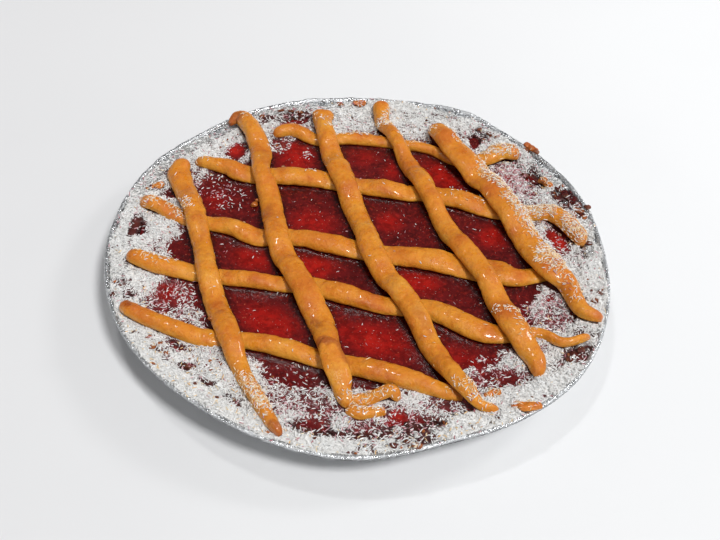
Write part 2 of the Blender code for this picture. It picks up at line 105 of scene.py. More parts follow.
# A lip of pastry folded over the second rope where it crosses the lowest one
FOLD = [(-14, -76, 8), (-12, -83, 11), (-9.5, -90, 12.5), (-6, -98, 11.5), (-3, -105, 8)]

# Loose bits, as in the CAD: x, y, length, width, height, turn in degrees
CHIPS = {
    "loose_chip_1": (85.0, -107.0, 17.0, 7.0, 3.5, 2),
    "loose_chip_2": (69.0, -99.3, 11.0, 7.0, 3.5, 25),
    "loose_chip_3": (-120.5, 40.5, 9.0, 6.0, 3.5, 35),
    "loose_chip_4": (109.5, 61.5, 11.0, 6.0, 3.5, -30),
    "loose_chip_5": (103.0, 94.0, 13.0, 6.0, 2.5, -45),
}

# Jam boiled over onto the flange, as in the CAD: the direction it lies in, and its size
SPILL_ANGLE = 21.5
SPILL_LENGTH = 24.0
SPILL_WIDTH = 6.4
SPILL_HEIGHT = 1.6

# Fineness of the meshes, and how many crimps, crumbs and tries at a sliver there are
TIN_SECTORS = 2220
TIN_CRIMPS = 370
SHELL_SECTORS = 1440
JAM_CELLS = 270
BED_SECTORS = 1300
BED_RINGS = 24
ROPE_FINE = 0.9
ROPE_AROUND = 30
LINE_STEP = 4.0
SPILL_POINTS = 96
SPILL_RINGS = 14
SMALL_CRUMBS = 170
SLIVER_TRIES = 150000
SLIVERS_PER_PIECE = 16000

# How far the rounding of a rope's two ends reaches, in widths
ROUND_END = (0.5, 0.5)
ROPE_ENDS = {"over_rope_2": (1.1, 0.4), "over_rope_3": (0.25, 0.5), "cross_rope_5": (0.2, 0.5)}

# Strokes of coconut in the materials: how far apart, how soft, and the directions and shifts they lie in
STROKE_PITCH = 0.62
STROKE_SOFT = 0.035
STROKE_TURNS = ((12, 0.0), (58, 0.3), (103, 0.7), (151, 1.1))

# Where the coconut lies thick or leaves the jam bare: (x, y, half width, half height, turn in degrees, share covered)
COCONUT_PATCHES = [
    (-90, 92, 13, 12, -45, 1.0), (-96, 79, 10, 9, 0, 0.95), (-95, 55, 12, 5, -10, 0.75), (-82, 40, 18, 12, -30, 0.32),
    (-104, 28, 8, 6, -60, 0.95), (-113, 6, 13, 9, 0, 0.95), (-126, 6, 5, 8, 10, 0.26), (-111, 36, 6, 4, 0, 0.35),
    (-84, 4, 7, 6, 0, 0.15), (-74, -2, 6, 8, 0, 0.1), (-79, 79, 6, 8, -20, 0.05), (-65, 112, 4, 4, 0, 0.4),
    (-46, 114, 10, 7, 30, 0.42), (-53, 88, 7, 6, 0, 0.55), (-35, 81, 5, 5, 0, 0.3), (-12, 111, 12, 8, 0, 0.86),
    (-9, 124, 9, 5, 0, 0.95), (20, 127, 8, 12, 0, 0.97), (31, 112, 9, 12, 10, 0.92), (38, 101, 6, 8, 10, 0.7),
    (41, 106, 5, 8, 20, 0.9), (-6, 133, 6, 4, 10, 0.05), (54, 124, 14, 5, -25, 0.5), (60, 112, 9, 7, -30, 0.85),
    (68, 100, 4, 6, 0, 0.1), (75, 108, 6, 5, -40, 0.12), (86, 101, 13, 8, -40, 0.92), (88, 72, 9, 14, 20, 0.78),
    (97, 62, 8, 14, 20, 0.72), (104, 68, 4, 8, 20, 0.3), (104, 42, 9, 8, 0, 0.8), (122, 50, 9, 8, -60, 0.06),
    (113, 15, 6, 11, 10, 0.4), (95, 22, 7, 25, 20, 0.75), (128, 8, 4, 9, 0, 0.35), (128, -22, 7, 18, 10, 0.97),
    (104, -42, 15, 14, -30, 0.72), (122, -56, 7, 5, -30, 0.9), (116, -70, 8, 6, 50, 0.12), (108, -84, 10, 9, -40, 0.7),
    (97, -97, 14, 7, 45, 0.97), (78, -102, 17, 9, 25, 0.97), (72, -88, 14, 6, 10, 0.5), (48, -107, 18, 6, -5, 0.62),
    (-38, -106, 10, 9, -40, 0.72), (60, -116, 20, 5, 22, 0.97), (24, -117, 8, 6, 0, 0.5), (36, -122, 12, 8, 10, 0.5),
    (10, -126, 12, 8, 0, 0.52), (-2, -137, 14, 3, 0, 0.95), (36, -131, 5, 3, 10, 0.1), (-22, -109, 20, 7, -8, 0.66),
    (-18, -124, 10, 6, -10, 0.36), (-32, -93, 17, 7, -10, 0.3), (-62, -97, 17, 19, -40, 0.9),
    (-95, -84, 18, 11, -35, 0.88), (-90, -79, 6, 2.5, -30, 0.5), (-70, -103, 6, 2.5, -30, 0.55),
    (-57, -113, 5, 2.5, -40, 0.6), (-82, -93, 4, 3, 0, 0.3), (-98, -46, 12, 14, -25, 0.58), (-101, -40, 5, 6, 0, 0.34),
    (-119, -38, 10, 11, -20, 1.0), (-122, -6, 6, 6, 0, 0.9), (-128, -49, 4, 3, -50, 0.3), (-88, -66, 9, 5, -20, 0.6),
]

# Coconut on the flange: (degrees, spread in degrees, share covered)
RIM_COCONUT = [
    (-62, 32, 1.0), (-120, 62, 1.0), (-12, 26, 0.95), (12, 9, 0.8), (30, 10, 0.72), (52, 17, 0.97), (82, 24, 0.88),
    (112, 16, 0.66), (150, 30, 0.66), (180, 26, 0.85), (-42, 14, 0.9),
]

# Where the coconut stops short of the bead: the same three numbers
BARE_BEAD = [(52, 30, 1.0), (2, 12, 0.2), (100, 12, 0.6)]

# Jam that boiled over onto the flange, dark and dry: the same three numbers, and the radius it reached
RIM_JAM = [
    (-29, 7, 0.7, 139), (-76, 4, 0.7, 139), (-86, 3, 0.4, 138), (118, 7, 0.5, 132), (20, 6, 0.75, 137),
    (-60, 4, 0.3, 137), (177.5, 4.0, 1.0, 131), (-158, 3, 0.5, 134), (-163, 2.5, 0.4, 139), (-137, 3, 0.4, 133),
]

# Where coconut lies on the ropes: the same six numbers
ROPE_COCONUT = [
    (-110, -22, 12, 6, -10, 0.30), (-47, -113, 15, 7, -60, 0.92), (10, -109, 14, 7, 0, 0.45),
    (78, 62, 8, 16, 30, 0.85), (57, 97, 6, 14, 20, 0.35), (93, 30, 8, 24, 20, 0.75), (104, 38, 12, 10, -20, 1.0),
    (120, 17, 7, 11, 20, 0.85), (105, -8, 9, 14, 20, 0.72), (114, -30, 6, 10, 20, 0.35), (13, 107, 8, 5, 0, 0.95),
    (14, 118, 4, 8, 0, 0.55), (-8, 98, 16, 3, 0, 0.7), (30, 94, 10, 3, -10, 0.4), (-30, 108, 6, 8, 0, 0.15),
    (60, -104, 12, 6, -20, 0.5), (88, -60, 8, 8, 0, 0.25), (82, 86, 13, 7, 0, 0.85), (-119, 23, 8, 5, -10, 0.5),
    (110, 61, 7, 5, 0, 0.6), (70, -100, 7, 6, 0, 0.6), (80, -50, 9, 3, -10, 0.5), (86, -106, 8, 4, 0, 0.3),
    (-30, 58, 10, 3, 0, 0.1), (60, 42, 14, 5, -10, 0.1), (-102, 18, 8, 5, -20, 0.6), (-120, 40, 6, 4, 0, 0.5),
    (-98, 66, 6, 5, 0, 0.35), (-78, 104, 6, 5, 0, 0.1), (39.6, 103, 3, 8, 21, 0.4),
]

# Where the coconut is soaked with jam: the same six numbers
STAINED_PATCHES = [
    (92, 68, 9, 17, 20, 0.62), (114, 18, 6, 11, 10, 0.6), (70, 104, 8, 5, -30, 0.4), (-50, 100, 10, 8, 0, 0.3),
    (-98, -44, 12, 12, -25, 0.35), (100, -42, 14, 12, -30, 0.30), (72, -88, 14, 6, 10, 0.45),
    (20, -118, 22, 9, 0, 0.28), (-84, 38, 16, 12, -30, 0.45), (-20, -118, 16, 8, 0, 0.25),
]

# Crumbs that can be told apart in the photograph: (x, y, length, width, height, turn in degrees, share of pastry)
CRUMBS = [
    (122, 34, 6, 5, 3, 20, 0.45), (119.5, 36, 5, 4, 3, 70, 0.55), (126.5, 38, 6, 4, 2.5, 0, 0.35),
    (129.5, 32, 4, 3, 2, 30, 0.5), (131, -27, 5, 3.5, 2.6, 60, 0.12), (127, -34, 4.5, 3.5, 2.4, 10, 0.2),
    (108.5, -95.5, 5, 3, 2.2, 40, 0.25), (32, -134, 5, 3, 2.2, 0, 0.35), (27, -131, 3, 2.4, 1.6, 0, 0.1),
    (-101, -83, 4, 3, 2, 0, 0.45), (-97.5, -80.5, 3.5, 2.5, 1.8, 50, 0.5), (-104, -76, 3, 2, 1.6, 20, 0.4),
    (-93, -86, 3, 2.4, 1.6, 0, 0.5), (-5.5, 133, 8, 4.5, 3.6, 10, 0.95), (-62.5, 31, 4.5, 4, 3.4, 30, 0.75),
    (-61, 34.5, 3, 2.6, 2.4, 0, 0.7), (98, 71, 5, 4, 2.4, 0, 0.05), (101, 65, 4, 3, 2.4, 40, 0.0),
    (108, 62, 5, 4, 2.6, 0, 0.65), (72, 110, 4, 3, 2.2, 0, 0.1), (78.5, 105.5, 6, 3.5, 2.6, -30, 0.2),
    (82, 103, 4, 3, 2.2, 0, 0.3), (117, 57, 5, 3.6, 2.2, -50, 0.0), (121, 50, 6, 4, 2.6, -60, 0.0),
    (127, 44, 5, 4, 2.4, -50, 0.02), (132, 41, 4, 3.4, 2.4, 0, 0.1), (124, 40, 5, 3, 2, -60, 0.0),
    (-67, 113, 4, 3, 2, 0, 0.3), (-56, 119.5, 5, 2.5, 2, 20, 0.15), (-49, 120, 4, 2.5, 2, 0, 0.1),
    (-43, 120.5, 4, 2.4, 2, 0, 0.25), (-18, 130.5, 4, 3, 2, 0, 0.5), (-128, -48, 4, 3, 2, 30, 0.0),
    (-97, -84, 3.4, 2.5, 2, 0, 0.0), (-82, -92, 4, 3, 2, 0, 0.05), (24, -129, 5, 3, 2, 0, 0.0),
    (21, -133, 4, 3, 2, 0, 0.0), (129, 11, 4, 3, 2, 0, 0.05), (116, -68, 5, 3.4, 2, 40, 0.0),
    (109, -75, 4, 3, 2, 0, 0.05), (100, 93, 4, 3, 2.4, -40, 0.3), (106, 90, 4, 3, 2.2, -40, 0.25),
    (-74, -64, 3, 2.4, 1.6, 0, 0.6),
]

# Where the ropes baked brown: the same six numbers
ROPE_BROWN = [
    (-84, 104, 7, 5, 30, 0.75), (-14, -79, 5, 3, 0, 0.75), (-6, -84, 2, 8, 25, 0.6), (-33, -131, 6, 5, 0, 0.7),
    (-118, -59, 3, 2.5, 0, 0.8), (-20, -64, 5, 2, -50, 0.55), (-70, -62, 3, 1.6, 30, 0.45), (-100, 62, 3, 5, 0, 0.3),
    (88, 90, 8, 3, 0, 0.45), (103, 94, 12, 6, 0, 0.85), (122, 14, 4, 5, 0, 0.35), (-59, 62, 3, 9, 0, 0.35),
    (-53, 18, 3, 7, 0, 0.4), (34, -60, 3, 8, 30, 0.35), (60, 8, 3, 7, 30, 0.3), (77, 56, 4, 8, 30, 0.25),
    (-88, 0, 2.5, 8, 10, 0.3), (14, 100, 2.5, 6, 0, 0.3),
]

# Bright red places in the jam, a painted glow of light through it: (x, y, half width, half height, turn in degrees,
# strength)
PAINTED_GLOW_PATCHES = [
    (-42, 78, 10, 12, 0, 1.0), (-28, 19, 12, 10, -20, 0.75), (-80, 82, 4, 5, 0, 1.5), (19, 70, 7, 9, 0, 0.8),
    (48, 67, 14, 9, -40, 1.0), (16, 23, 7, 7, 0, 0.9), (75, 15, 8, 8, 0, 0.95), (114, 15, 5, 9, 10, 1.5),
    (-58, -13, 11, 7, -20, 1.0), (-25, -17, 10, 8, -20, 1.0), (-45, -58, 14, 9, -20, 1.0), (-97, -42, 10, 9, 0, 0.6),
    (34, -23, 10, 8, -20, 1.0), (10, -67, 18, 9, -15, 1.0), (55, -76, 14, 7, -20, 0.6), (22, -115, 10, 6, -10, 0.75),
    (-86, 33, 9, 9, 0, 0.5), (88, 68, 6, 12, 20, 0.8), (-55, 112, 8, 5, 20, 0.5), (0, 80, 9, 8, 0, 0.5),
    (40, 28, 10, 8, 0, 0.35), (-62, 112, 4, 4, 0, 1.0), (-5, -62, 8, 8, 0, 0.7), (105, -30, 6, 6, 0, 0.5),
]


# Small maths on arrays

def smoothstep(t):
    t = np.clip(t, 0.0, 1.0)
    return t * t * (3 - 2 * t)


def corner_value(ix, iy, iz, seed):
    h = (ix * 73856093) ^ (iy * 19349663) ^ (iz * 83492791) ^ (seed * 2654435)
    h = (h ^ (h >> 13)) & 0xFFFFFFFF
    h = (h * 1274126177) & 0xFFFFFFFF
    h = h ^ (h >> 15)
    return (h & 0xFFFF) / 32767.5 - 1.0


def noise(x, y, z, pitch, seed):
    """Smooth noise from -1 to 1 with lumps about pitch apart."""
    x, y, z = np.broadcast_arrays(np.asarray(x, float), y, z)
    cells, parts = [], []
    for v in (x, y, z):
        v = v / pitch + 100.37
        low = np.floor(v)
        cells.append(low.astype(np.int64))
        parts.append(smoothstep(v - low))
    total = np.zeros(x.shape)
    for dx in (0, 1):
        for dy in (0, 1):
            for dz in (0, 1):
                share = ((parts[0] if dx else 1 - parts[0]) * (parts[1] if dy else 1 - parts[1])
                         * (parts[2] if dz else 1 - parts[2]))
                total += share * corner_value(cells[0] + dx, cells[1] + dy, cells[2] + dz, seed)
    return total


def rough_noise(x, y, z, pitch, seed):
    """Three layers of smooth noise, each half as wide and half as strong as the one before."""
    total, size = 0.0, 0.0
    for k in range(3):
        total = total + noise(x, y, z, pitch / 2 ** k, seed + 17 * k) / 2 ** k
        size += 1 / 2 ** k
    return total / size


def layers(x, y, *rows, start=0.0):
    """Layers of smooth noise added up, each row (height, pitch, seed)."""
    return sum((height * noise(x, y, 0.0, pitch, seed) for height, pitch, seed in rows), start)


def patch_axes(x, y, patch):
    """Places as a turned patch has them: from its middle, in its own half widths."""
    px, py, rx, ry, turn, _ = patch
    c, s = math.cos(math.radians(turn)), math.sin(math.radians(turn))
    return (c * (x - px) + s * (y - py)) / rx, (-s * (x - px) + c * (y - py)) / ry


def patch_share(x, y, patches, start, ragged=0.25, pitch=5.0):
    """Starts from the given values and blends towards each patch's own value inside its ragged outline."""
    value = np.array(start, float)
    wobble = layers(x, y, (ragged, pitch, 71), (0.5 * ragged, pitch / 2.3, 72))
    for patch in patches:
        share = smoothstep((1.35 - np.hypot(*patch_axes(x, y, patch)) + wobble) / 0.75)
        value += share * (patch[-1] - value)
    return value


def direction_gap(degrees, middle):
    """How far round these directions are from that one, from -180 to 180 degrees."""
    return (degrees - middle + 180) % 360 - 180


# Form of the bent tin and of the ropes, as in the CAD

def rim_wave(degrees):
    outwards, upwards = np.zeros(np.shape(degrees)), np.zeros(np.shape(degrees))
    for middle, out, up, spread in RIM_WAVES:
        share = np.exp(-(direction_gap(degrees, middle) / spread) ** 2)
        outwards = outwards + out * share
        upwards = upwards + up * share
    return outwards, upwards


def bend_share(radius):
    return smoothstep((radius - 95) / (THROAT_RADIUS - 95))


def bent(radius, height, degrees):
    """Points of the true round form, moved to where the bent tin has them."""
    outwards, upwards = rim_wave(degrees)
    share = bend_share(radius)
    r, a = radius + share * outwards, np.radians(degrees)
    return np.stack([r * np.cos(a), r * np.sin(a), height + share * upwards * smoothstep(height / JAM_LEVEL)], -1)


def flat_radius(x, y):
    degrees, radius = np.degrees(np.arctan2(y, x)), np.hypot(x, y)
    return radius - bend_share(radius) * rim_wave(degrees)[0], degrees


def support(x, y):
    """The height of the jam, the crust's edge or the flange there, which the ropes rest on."""
    radius, degrees = flat_radius(x, y)
    edge, flange = smoothstep((radius - 116) / 9), smoothstep((radius - 124) / 4)
    bead = smoothstep((radius - 133) / 3)
    height = JAM_LEVEL + 1.3 * edge + (RIM_HEIGHT - JAM_LEVEL - 1.2) * flange + BEAD_RADIUS * bead
    return height + bend_share(radius) * rim_wave(degrees)[1]


def spline(points, t):
    points = np.asarray(points, float)
    last = len(points) - 1
    i = np.minimum(t.astype(int), last - 1)
    f = (t - i)[:, None]
    a, b, c, d = (points[np.clip(i + k, 0, last)] for k in (-1, 0, 1, 2))
    return 0.5 * (2 * b + (c - a) * f + (2 * a - 5 * b + 4 * c - d) * f ** 2 + (3 * b - a - 3 * c + d) * f ** 3)


def route(points, step):
    """Even stations (x, y, width) along a smooth line, and how far along it each one is."""
    fine = spline(points, np.linspace(0, len(points) - 1, 40 * (len(points) - 1) + 1))
    walked = np.concatenate([[0], np.cumsum(np.hypot(*np.diff(fine[:, :2], axis=0).T))])
    count = max(4, int(round(walked[-1] / step)))
    at = np.linspace(0, walked[-1], count + 1)
    return np.stack([np.interp(at, walked, fine[:, k]) for k in range(3)], -1), at


def footprint(points):
    """Stations whose discs cover the rope as far as its two ends."""
    stations, at = route(points, 1.2)
    return stations[np.minimum(at, at[-1] - at) > stations[:, 2] / 2 - 0.5]


CROSS_LINES = [route(p, LINE_STEP)[0] for p in CROSS_ROPES.values()]
OVER_LINES = [route(p, LINE_STEP)[0] for p in OVER_ROPES.values()]
PASTRY_LINES = [footprint(p) for p in [*CROSS_ROPES.values(), *OVER_ROPES.values(), *sum(BRANCHES.values(), [])]]
PASTRY_LINES += [np.array([[x, y, 0.6 * length]]) for x, y, length, _, _, _ in CHIPS.values()]


def edge_distance(x, y, lines):
    """How far these places are outside the nearest of these ropes. It is negative under one."""
    x, y = np.asarray(x, float), np.asarray(y, float)
    best = np.full(x.shape, 1e9)
    flat = np.concatenate(lines)
    for part in np.array_split(flat, max(1, len(flat) * x.size // 4_000_000)):
        away = np.hypot(x[..., None] - part[:, 0], y[..., None] - part[:, 1]) - part[:, 2] / 2
        best = np.minimum(best, away.min(-1))
    return best


def tangents(stations):
    along = np.gradient(stations[:, :2], axis=0)
    return along / np.linalg.norm(along, axis=1)[:, None]


def highest_across(stations, height):
    """The greatest height under each station of a rope, over its width."""
    along, best = tangents(stations), None
    for share in (-0.9, -0.45, 0, 0.45, 0.9):
        side = share * stations[:, 2] / 2
        level = height(stations[:, 0] + along[:, 1] * side, stations[:, 1] - along[:, 0] * side)
        best = level if best is None else np.maximum(best, level)
    return best


def pressed(x, y):
    """How far a cross rope is pressed flat there by the ropes over it, from 0 to 1."""
    return smoothstep(1 - (edge_distance(x, y, OVER_LINES) - 3.0) / 6.0)


def lifted(x, y):
    """How far an over rope is lifted there by the ropes under it, from 0 to 1."""
    return smoothstep(1 - (edge_distance(x, y, CROSS_LINES) - 0.5) / 9.0)


def floor_under(stations):
    """The underside of a rope at each station: a gap above the highest of what is near it."""
    highest = highest_across(stations, support)
    padded = np.concatenate([highest[:1], highest, highest[-1:]])
    return np.maximum(np.maximum(padded[:-2], padded[1:-1]), padded[2:]) + GAP


# Meshes and materials

def add_mesh(name, points, faces, material, stands_for=(), sharp=None):
    """A piece from points in millimetres and a list of arrays of faces, each of faces with as many corners."""
    mesh = bpy.data.meshes.new(name)
    corners = np.concatenate([f.ravel() for f in faces])
    sizes = np.concatenate([np.full(len(f), f.shape[1]) for f in faces])
    mesh.vertices.add(len(points))
    mesh.vertices.foreach_set("co", (np.asarray(points, float) * MM).astype(np.float32).ravel())
    mesh.loops.add(len(corners))
    mesh.loops.foreach_set("vertex_index", corners.astype(np.int32))
    mesh.polygons.add(len(sizes))
    mesh.polygons.foreach_set("loop_start", np.concatenate([[0], np.cumsum(sizes)[:-1]]).astype(np.int32))
    mesh.update(calc_edges=True)
    mesh.validate()
    mesh.polygons.foreach_set("use_smooth", np.full(len(mesh.polygons), True))
    if sharp:
        mesh.set_sharp_from_angle(angle=math.radians(sharp))
    mesh.materials.append(material)
    piece = bpy.data.objects.new(name, mesh)
    bpy.context.scene.collection.objects.link(piece)
    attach(piece, "root")
    if stands_for:
        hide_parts(*stands_for)
    return piece


def give(piece, **values_by_name):
    """Values or colours, one for each point, for the material to read."""
    for name, values in values_by_name.items():
        values = np.asarray(values, float)
        if values.ndim == 1:
            layer = piece.data.attributes.new(name, "FLOAT", "POINT")
            layer.data.foreach_set("value", values.astype(np.float32))
        else:
            layer = piece.data.attributes.new(name, "FLOAT_COLOR", "POINT")
            full = np.concatenate([values, np.ones((len(values), 1))], 1)
            layer.data.foreach_set("color", np.clip(full, 0, 1).astype(np.float32).ravel())
    return piece


def linear(*rgb):
    """A colour read off a screen, 0 to 255, as the shader takes it."""
    c = np.array(rgb, float) / 255
    return np.where(c <= 0.04045, c / 12.92, ((c + 0.055) / 1.055) ** 2.4)


def mix_colours(a, b, share):
    return a + (b - a) * np.asarray(share)[..., None]


def tinted(colour, *steps):
    """A colour moved in turn towards others, each step (colour as read off a screen, share)."""
    for rgb, share in steps:
        colour = mix_colours(colour, linear(*rgb), share)
    return colour


class Finish:
    """A material under construction."""

    def __init__(self, name, **fixed):
        self.material = bpy.data.materials.new(name)
        self.material.use_nodes = True
        self.tree = self.material.node_tree
        self.shader = self.tree.nodes["Principled BSDF"]
        for socket, value in fixed.items():
            self.shader.inputs[socket.replace("_", " ")].default_value = value
        self.place = self.node("ShaderNodeTexCoord").outputs["Object"]

    def node(self, kind, inputs=(), **settings):
        made = self.tree.nodes.new(kind)
        for key, value in settings.items():
            setattr(made, key, value)
        for key, value in dict(inputs).items():
            if isinstance(value, bpy.types.NodeSocket):
                self.tree.links.new(value, made.inputs[key])
            else:
                made.inputs[key].default_value = value
        return made

    def noise(self, pitch_mm, detail=2.0, roughness=0.5):
        inputs = {"Vector": self.place, "Scale": 1000.0 / pitch_mm, "Detail": detail, "Roughness": roughness}
        return self.node("ShaderNodeTexNoise", inputs).outputs["Fac"]

    def cells(self, pitch_mm):
        inputs = {"Vector": self.place, "Scale": 1000.0 / pitch_mm}
        return self.node("ShaderNodeTexVoronoi", inputs).outputs["Distance"]

    def strokes(self, cover):
        """Fine strokes lying every way, as many as the cover says: 1 on a stroke and 0 between them."""
        best = None
        for degrees, shift in STROKE_TURNS:
            inputs = {"Vector": self.place, "Rotation": (0, 0, math.radians(degrees)), "Scale": (3.4, 1.0, 1.0),
                      "Location": (shift, shift, 0)}
            place = self.node("ShaderNodeMapping", inputs, vector_type="TEXTURE").outputs[0]
            inputs = {"Vector": place, "Scale": 1000.0 / STROKE_PITCH, "Detail": 1.0}
            one = self.node("ShaderNodeTexNoise", inputs).outputs["Fac"]
            best = one if best is None else self.math("MAXIMUM", best, one)
        line = self.math("SUBTRACT", 0.80, self.math("MULTIPLY", cover, 0.36))
        return self.span(self.math("SUBTRACT", best, line), -STROKE_SOFT, STROKE_SOFT)

    def attribute(self, name, output="Fac"):
        return self.node("ShaderNodeAttribute", attribute_name=name).outputs[output]

    def span(self, value, low, high, to_low=0.0, to_high=1.0):
        inputs = {"Value": value, "From Min": low, "From Max": high, "To Min": to_low, "To Max": to_high}
        return self.node("ShaderNodeMapRange", inputs, interpolation_type="SMOOTHSTEP").outputs["Result"]

    def math(self, operation, a, b):
        return self.node("ShaderNodeMath", {0: a, 1: b}, operation=operation).outputs[0]

    def mix(self, share, a, b, blend="MIX"):
        made = self.node("ShaderNodeMix", {"Factor": share}, data_type="RGBA", blend_type=blend)
        sockets = [s for s in made.inputs if s.type == "RGBA"]
        for socket, value in zip(sockets, (a, b)):
            if isinstance(value, bpy.types.NodeSocket):
                self.tree.links.new(value, socket)
            else:
                socket.default_value = (*value, 1.0)
        return [s for s in made.outputs if s.type == "RGBA"][0]

    def blotched(self, shade, value, low, high, to_low, to_high, colour, blend="MULTIPLY"):
        """The shade with this colour over it where the value rises from low to high."""
        return self.mix(self.span(value, low, high, to_low, to_high), shade, colour, blend)

    def set(self, **sockets):
        for name, value in sockets.items():
            self.tree.links.new(value, self.shader.inputs[name.replace("_", " ")])

    def bump(self, *layers):
        """Layers of (height socket, depth in millimetres)."""
        normal = None
        for height, depth in layers:
            inputs = {"Height": height, "Distance": depth * MM, "Strength": 1.0}
            if normal:
                inputs["Normal"] = normal
            normal = self.node("ShaderNodeBump", inputs).outputs[0]
        self.tree.links.new(normal, self.shader.inputs["Normal"])


def foil_finish():
    f = Finish("foil", Metallic=1.0)
    grime = f.noise(9.0, 4.0, 0.6)
    shade = f.mix(f.span(grime, 0.35, 0.7), linear(226, 228, 230), linear(196, 198, 200))
    # Painted shade: a dark line along the groove, and the bead's underside darkened as a painted reflection of the
    # shadowed floor
    shade = f.mix(f.attribute("groove"), shade, linear(84, 84, 86))
    crinkle = f.noise(1.9, 5.0, 0.68)
    fine = f.noise(0.6, 2.0)
    f.set(Base_Color=shade, Roughness=f.span(f.noise(5.0, 3.0), 0.3, 0.7, 0.16, 0.38))
    f.bump((crinkle, 0.85), (fine, 0.10))
    return f.material


def pastry_finish(name, dry=0.0):
    f = Finish(name, Subsurface_Weight=0.06, Subsurface_Radius=(1.0, 0.5, 0.2), Subsurface_Scale=0.0015,
               Specular_IOR_Level=0.42)
    shade = f.attribute("shade", "Color")
    shade = f.blotched(shade, f.noise(4.4, 5.0, 0.68), 0.44, 0.66, 0.0, 0.62, (0.86, 0.66, 0.36))
    shade = f.blotched(shade, f.noise(2.1, 3.0, 0.6), 0.52, 0.72, 0.0, 0.42, (0.92, 0.70, 0.42))
    shade = f.blotched(shade, f.noise(1.5, 4.0, 0.65), 0.54, 0.76, 0.0, 0.34, linear(240, 186, 98), "MIX")
    shade = f.blotched(shade, f.cells(1.9), 0.07, 0.20, 0.50, 0.0, linear(150, 70, 22), "MIX")
    gloss = f.attribute("gloss")
    patchy = f.math("MULTIPLY", gloss, f.span(f.noise(4.2, 3.0, 0.6), 0.36, 0.62))
    f.set(Base_Color=shade, Roughness=f.span(patchy, 0.0, 1.0, 0.62 + 0.2 * dry, 0.24 + 0.4 * dry))
    if not dry:
        f.shader.inputs["Coat Roughness"].default_value = 0.12
        f.set(Coat_Weight=f.math("MULTIPLY", f.span(f.noise(3.1, 3.0, 0.6), 0.42, 0.54), gloss))
    f.bump((f.noise(2.6, 5.0, 0.62), 0.75 + 0.2 * dry), (f.noise(0.8, 2.0), 0.16 + 0.1 * dry))
    return f.material


def jam_finish():
    f = Finish("jam", Subsurface_Weight=0.06, Subsurface_Radius=(1.0, 0.12, 0.08), Subsurface_Scale=0.0025,
               Specular_IOR_Level=0.32)
    shade = f.attribute("shade", "Color")
    shade = f.blotched(shade, f.noise(5.5, 6.0, 0.70), 0.42, 0.62, 0.0, 0.78, (0.46, 0.38, 0.38))
    # Painted glow: small vivid red patches here and there
    shade = f.blotched(shade, f.noise(2.2, 5.0, 0.70), 0.50, 0.68, 0.0, 0.32, linear(186, 50, 36), "MIX")
    # Painted highlights: pale dots that stand as the glints of small bubbles
    shade = f.blotched(shade, f.cells(3.4), 0.05, 0.13, 0.6, 0.0, linear(196, 110, 84), "MIX")
    wet = f.span(f.noise(6.0), 0.3, 0.7, 0.07, 0.20)
    snow = f.attribute("snow")
    flecks = f.strokes(snow)
    white = f.mix(f.noise(1.3, 2.0), linear(190, 184, 182), linear(242, 242, 240))
    shade = f.mix(flecks, shade, white)
    f.set(Base_Color=shade, Roughness=f.math("MAXIMUM", f.math("MULTIPLY", flecks, 0.65), wet))
    f.bump((f.noise(2.4, 4.0, 0.6), 0.34), (f.noise(0.8, 2.0), 0.08), (f.math("MULTIPLY", flecks, snow), 0.30))
    return f.material


def bed_finish():
    """Heaped coconut: strokes of white over what lies under it. In the gaps it is dark red, the jam under it made
    darker as painted shade between the shreds, and bare grey on the flange.
    """
    f = Finish("coconut_bed", Subsurface_Weight=0.10, Subsurface_Radius=(1.0, 0.9, 0.8), Subsurface_Scale=0.001)
    flecks = f.strokes(f.attribute("snow"))
    white = f.mix(f.noise(1.3, 2.0), linear(196, 194, 192), linear(246, 246, 244))
    shade = f.mix(flecks, f.attribute("shade", "Color"), white)
    f.set(Base_Color=shade, Roughness=f.span(flecks, 0.0, 1.0, 0.38, 0.65))
    f.bump((flecks, 0.30), (f.noise(0.8, 2.0), 0.08))
    return f.material


def coconut_finish(name):
    f = Finish(name, Subsurface_Weight=0.15, Subsurface_Radius=(1.0, 0.9, 0.8), Subsurface_Scale=0.001, Roughness=0.6)
    shade = f.attribute("shade", "Color")
    shade = f.blotched(shade, f.noise(0.8, 3.0, 0.6), 0.35, 0.7, 0.0, 0.25, (0.86, 0.86, 0.85))
    f.set(Base_Color=shade, Roughness=f.span(f.noise(1.5), 0.3, 0.7, 0.48, 0.72))
    f.bump((f.noise(0.35, 2.0), 0.05))
    return f.material


# Pieces

def ring_faces(rings, around, turned_over=False):
    """Faces between rings of points, and the fans that close both ends on the two points that come last."""
    k = np.arange(around)
    after = (k + 1) % around
    low = np.arange(rings - 1)[:, None] * around
    sides = np.stack([low + k, low + after, low + around + after, low + around + k], -1).reshape(-1, 4)
    end, top = rings * around, (rings - 1) * around
    fans = np.concatenate([np.stack([np.full(around, end), after, k], -1),
                           np.stack([np.full(around, end + 1), top + k, top + after], -1)])
    return [sides[:, [0, 3, 2, 1]], fans[:, [0, 2, 1]]] if turned_over else [sides, fans]


def turned(profile, sectors, move):
    """A closed body from a profile of (radius, height) from the axis below to the axis above, facing out."""
    profile = np.asarray(profile, float)
    rings = len(profile) - 2
    radius, height = np.repeat(profile[1:-1, 0], sectors), np.repeat(profile[1:-1, 1], sectors)
    degrees = np.tile(np.arange(sectors) * 360 / sectors, rings)
    points = bent(radius, height, degrees)
    points = points + move(points, radius, height, degrees, np.repeat(np.arange(rings), sectors))
    points = np.concatenate([points, [[0, 0, profile[0, 1]], [0, 0, profile[-1, 1]]]])
    return points, ring_faces(rings, sectors)


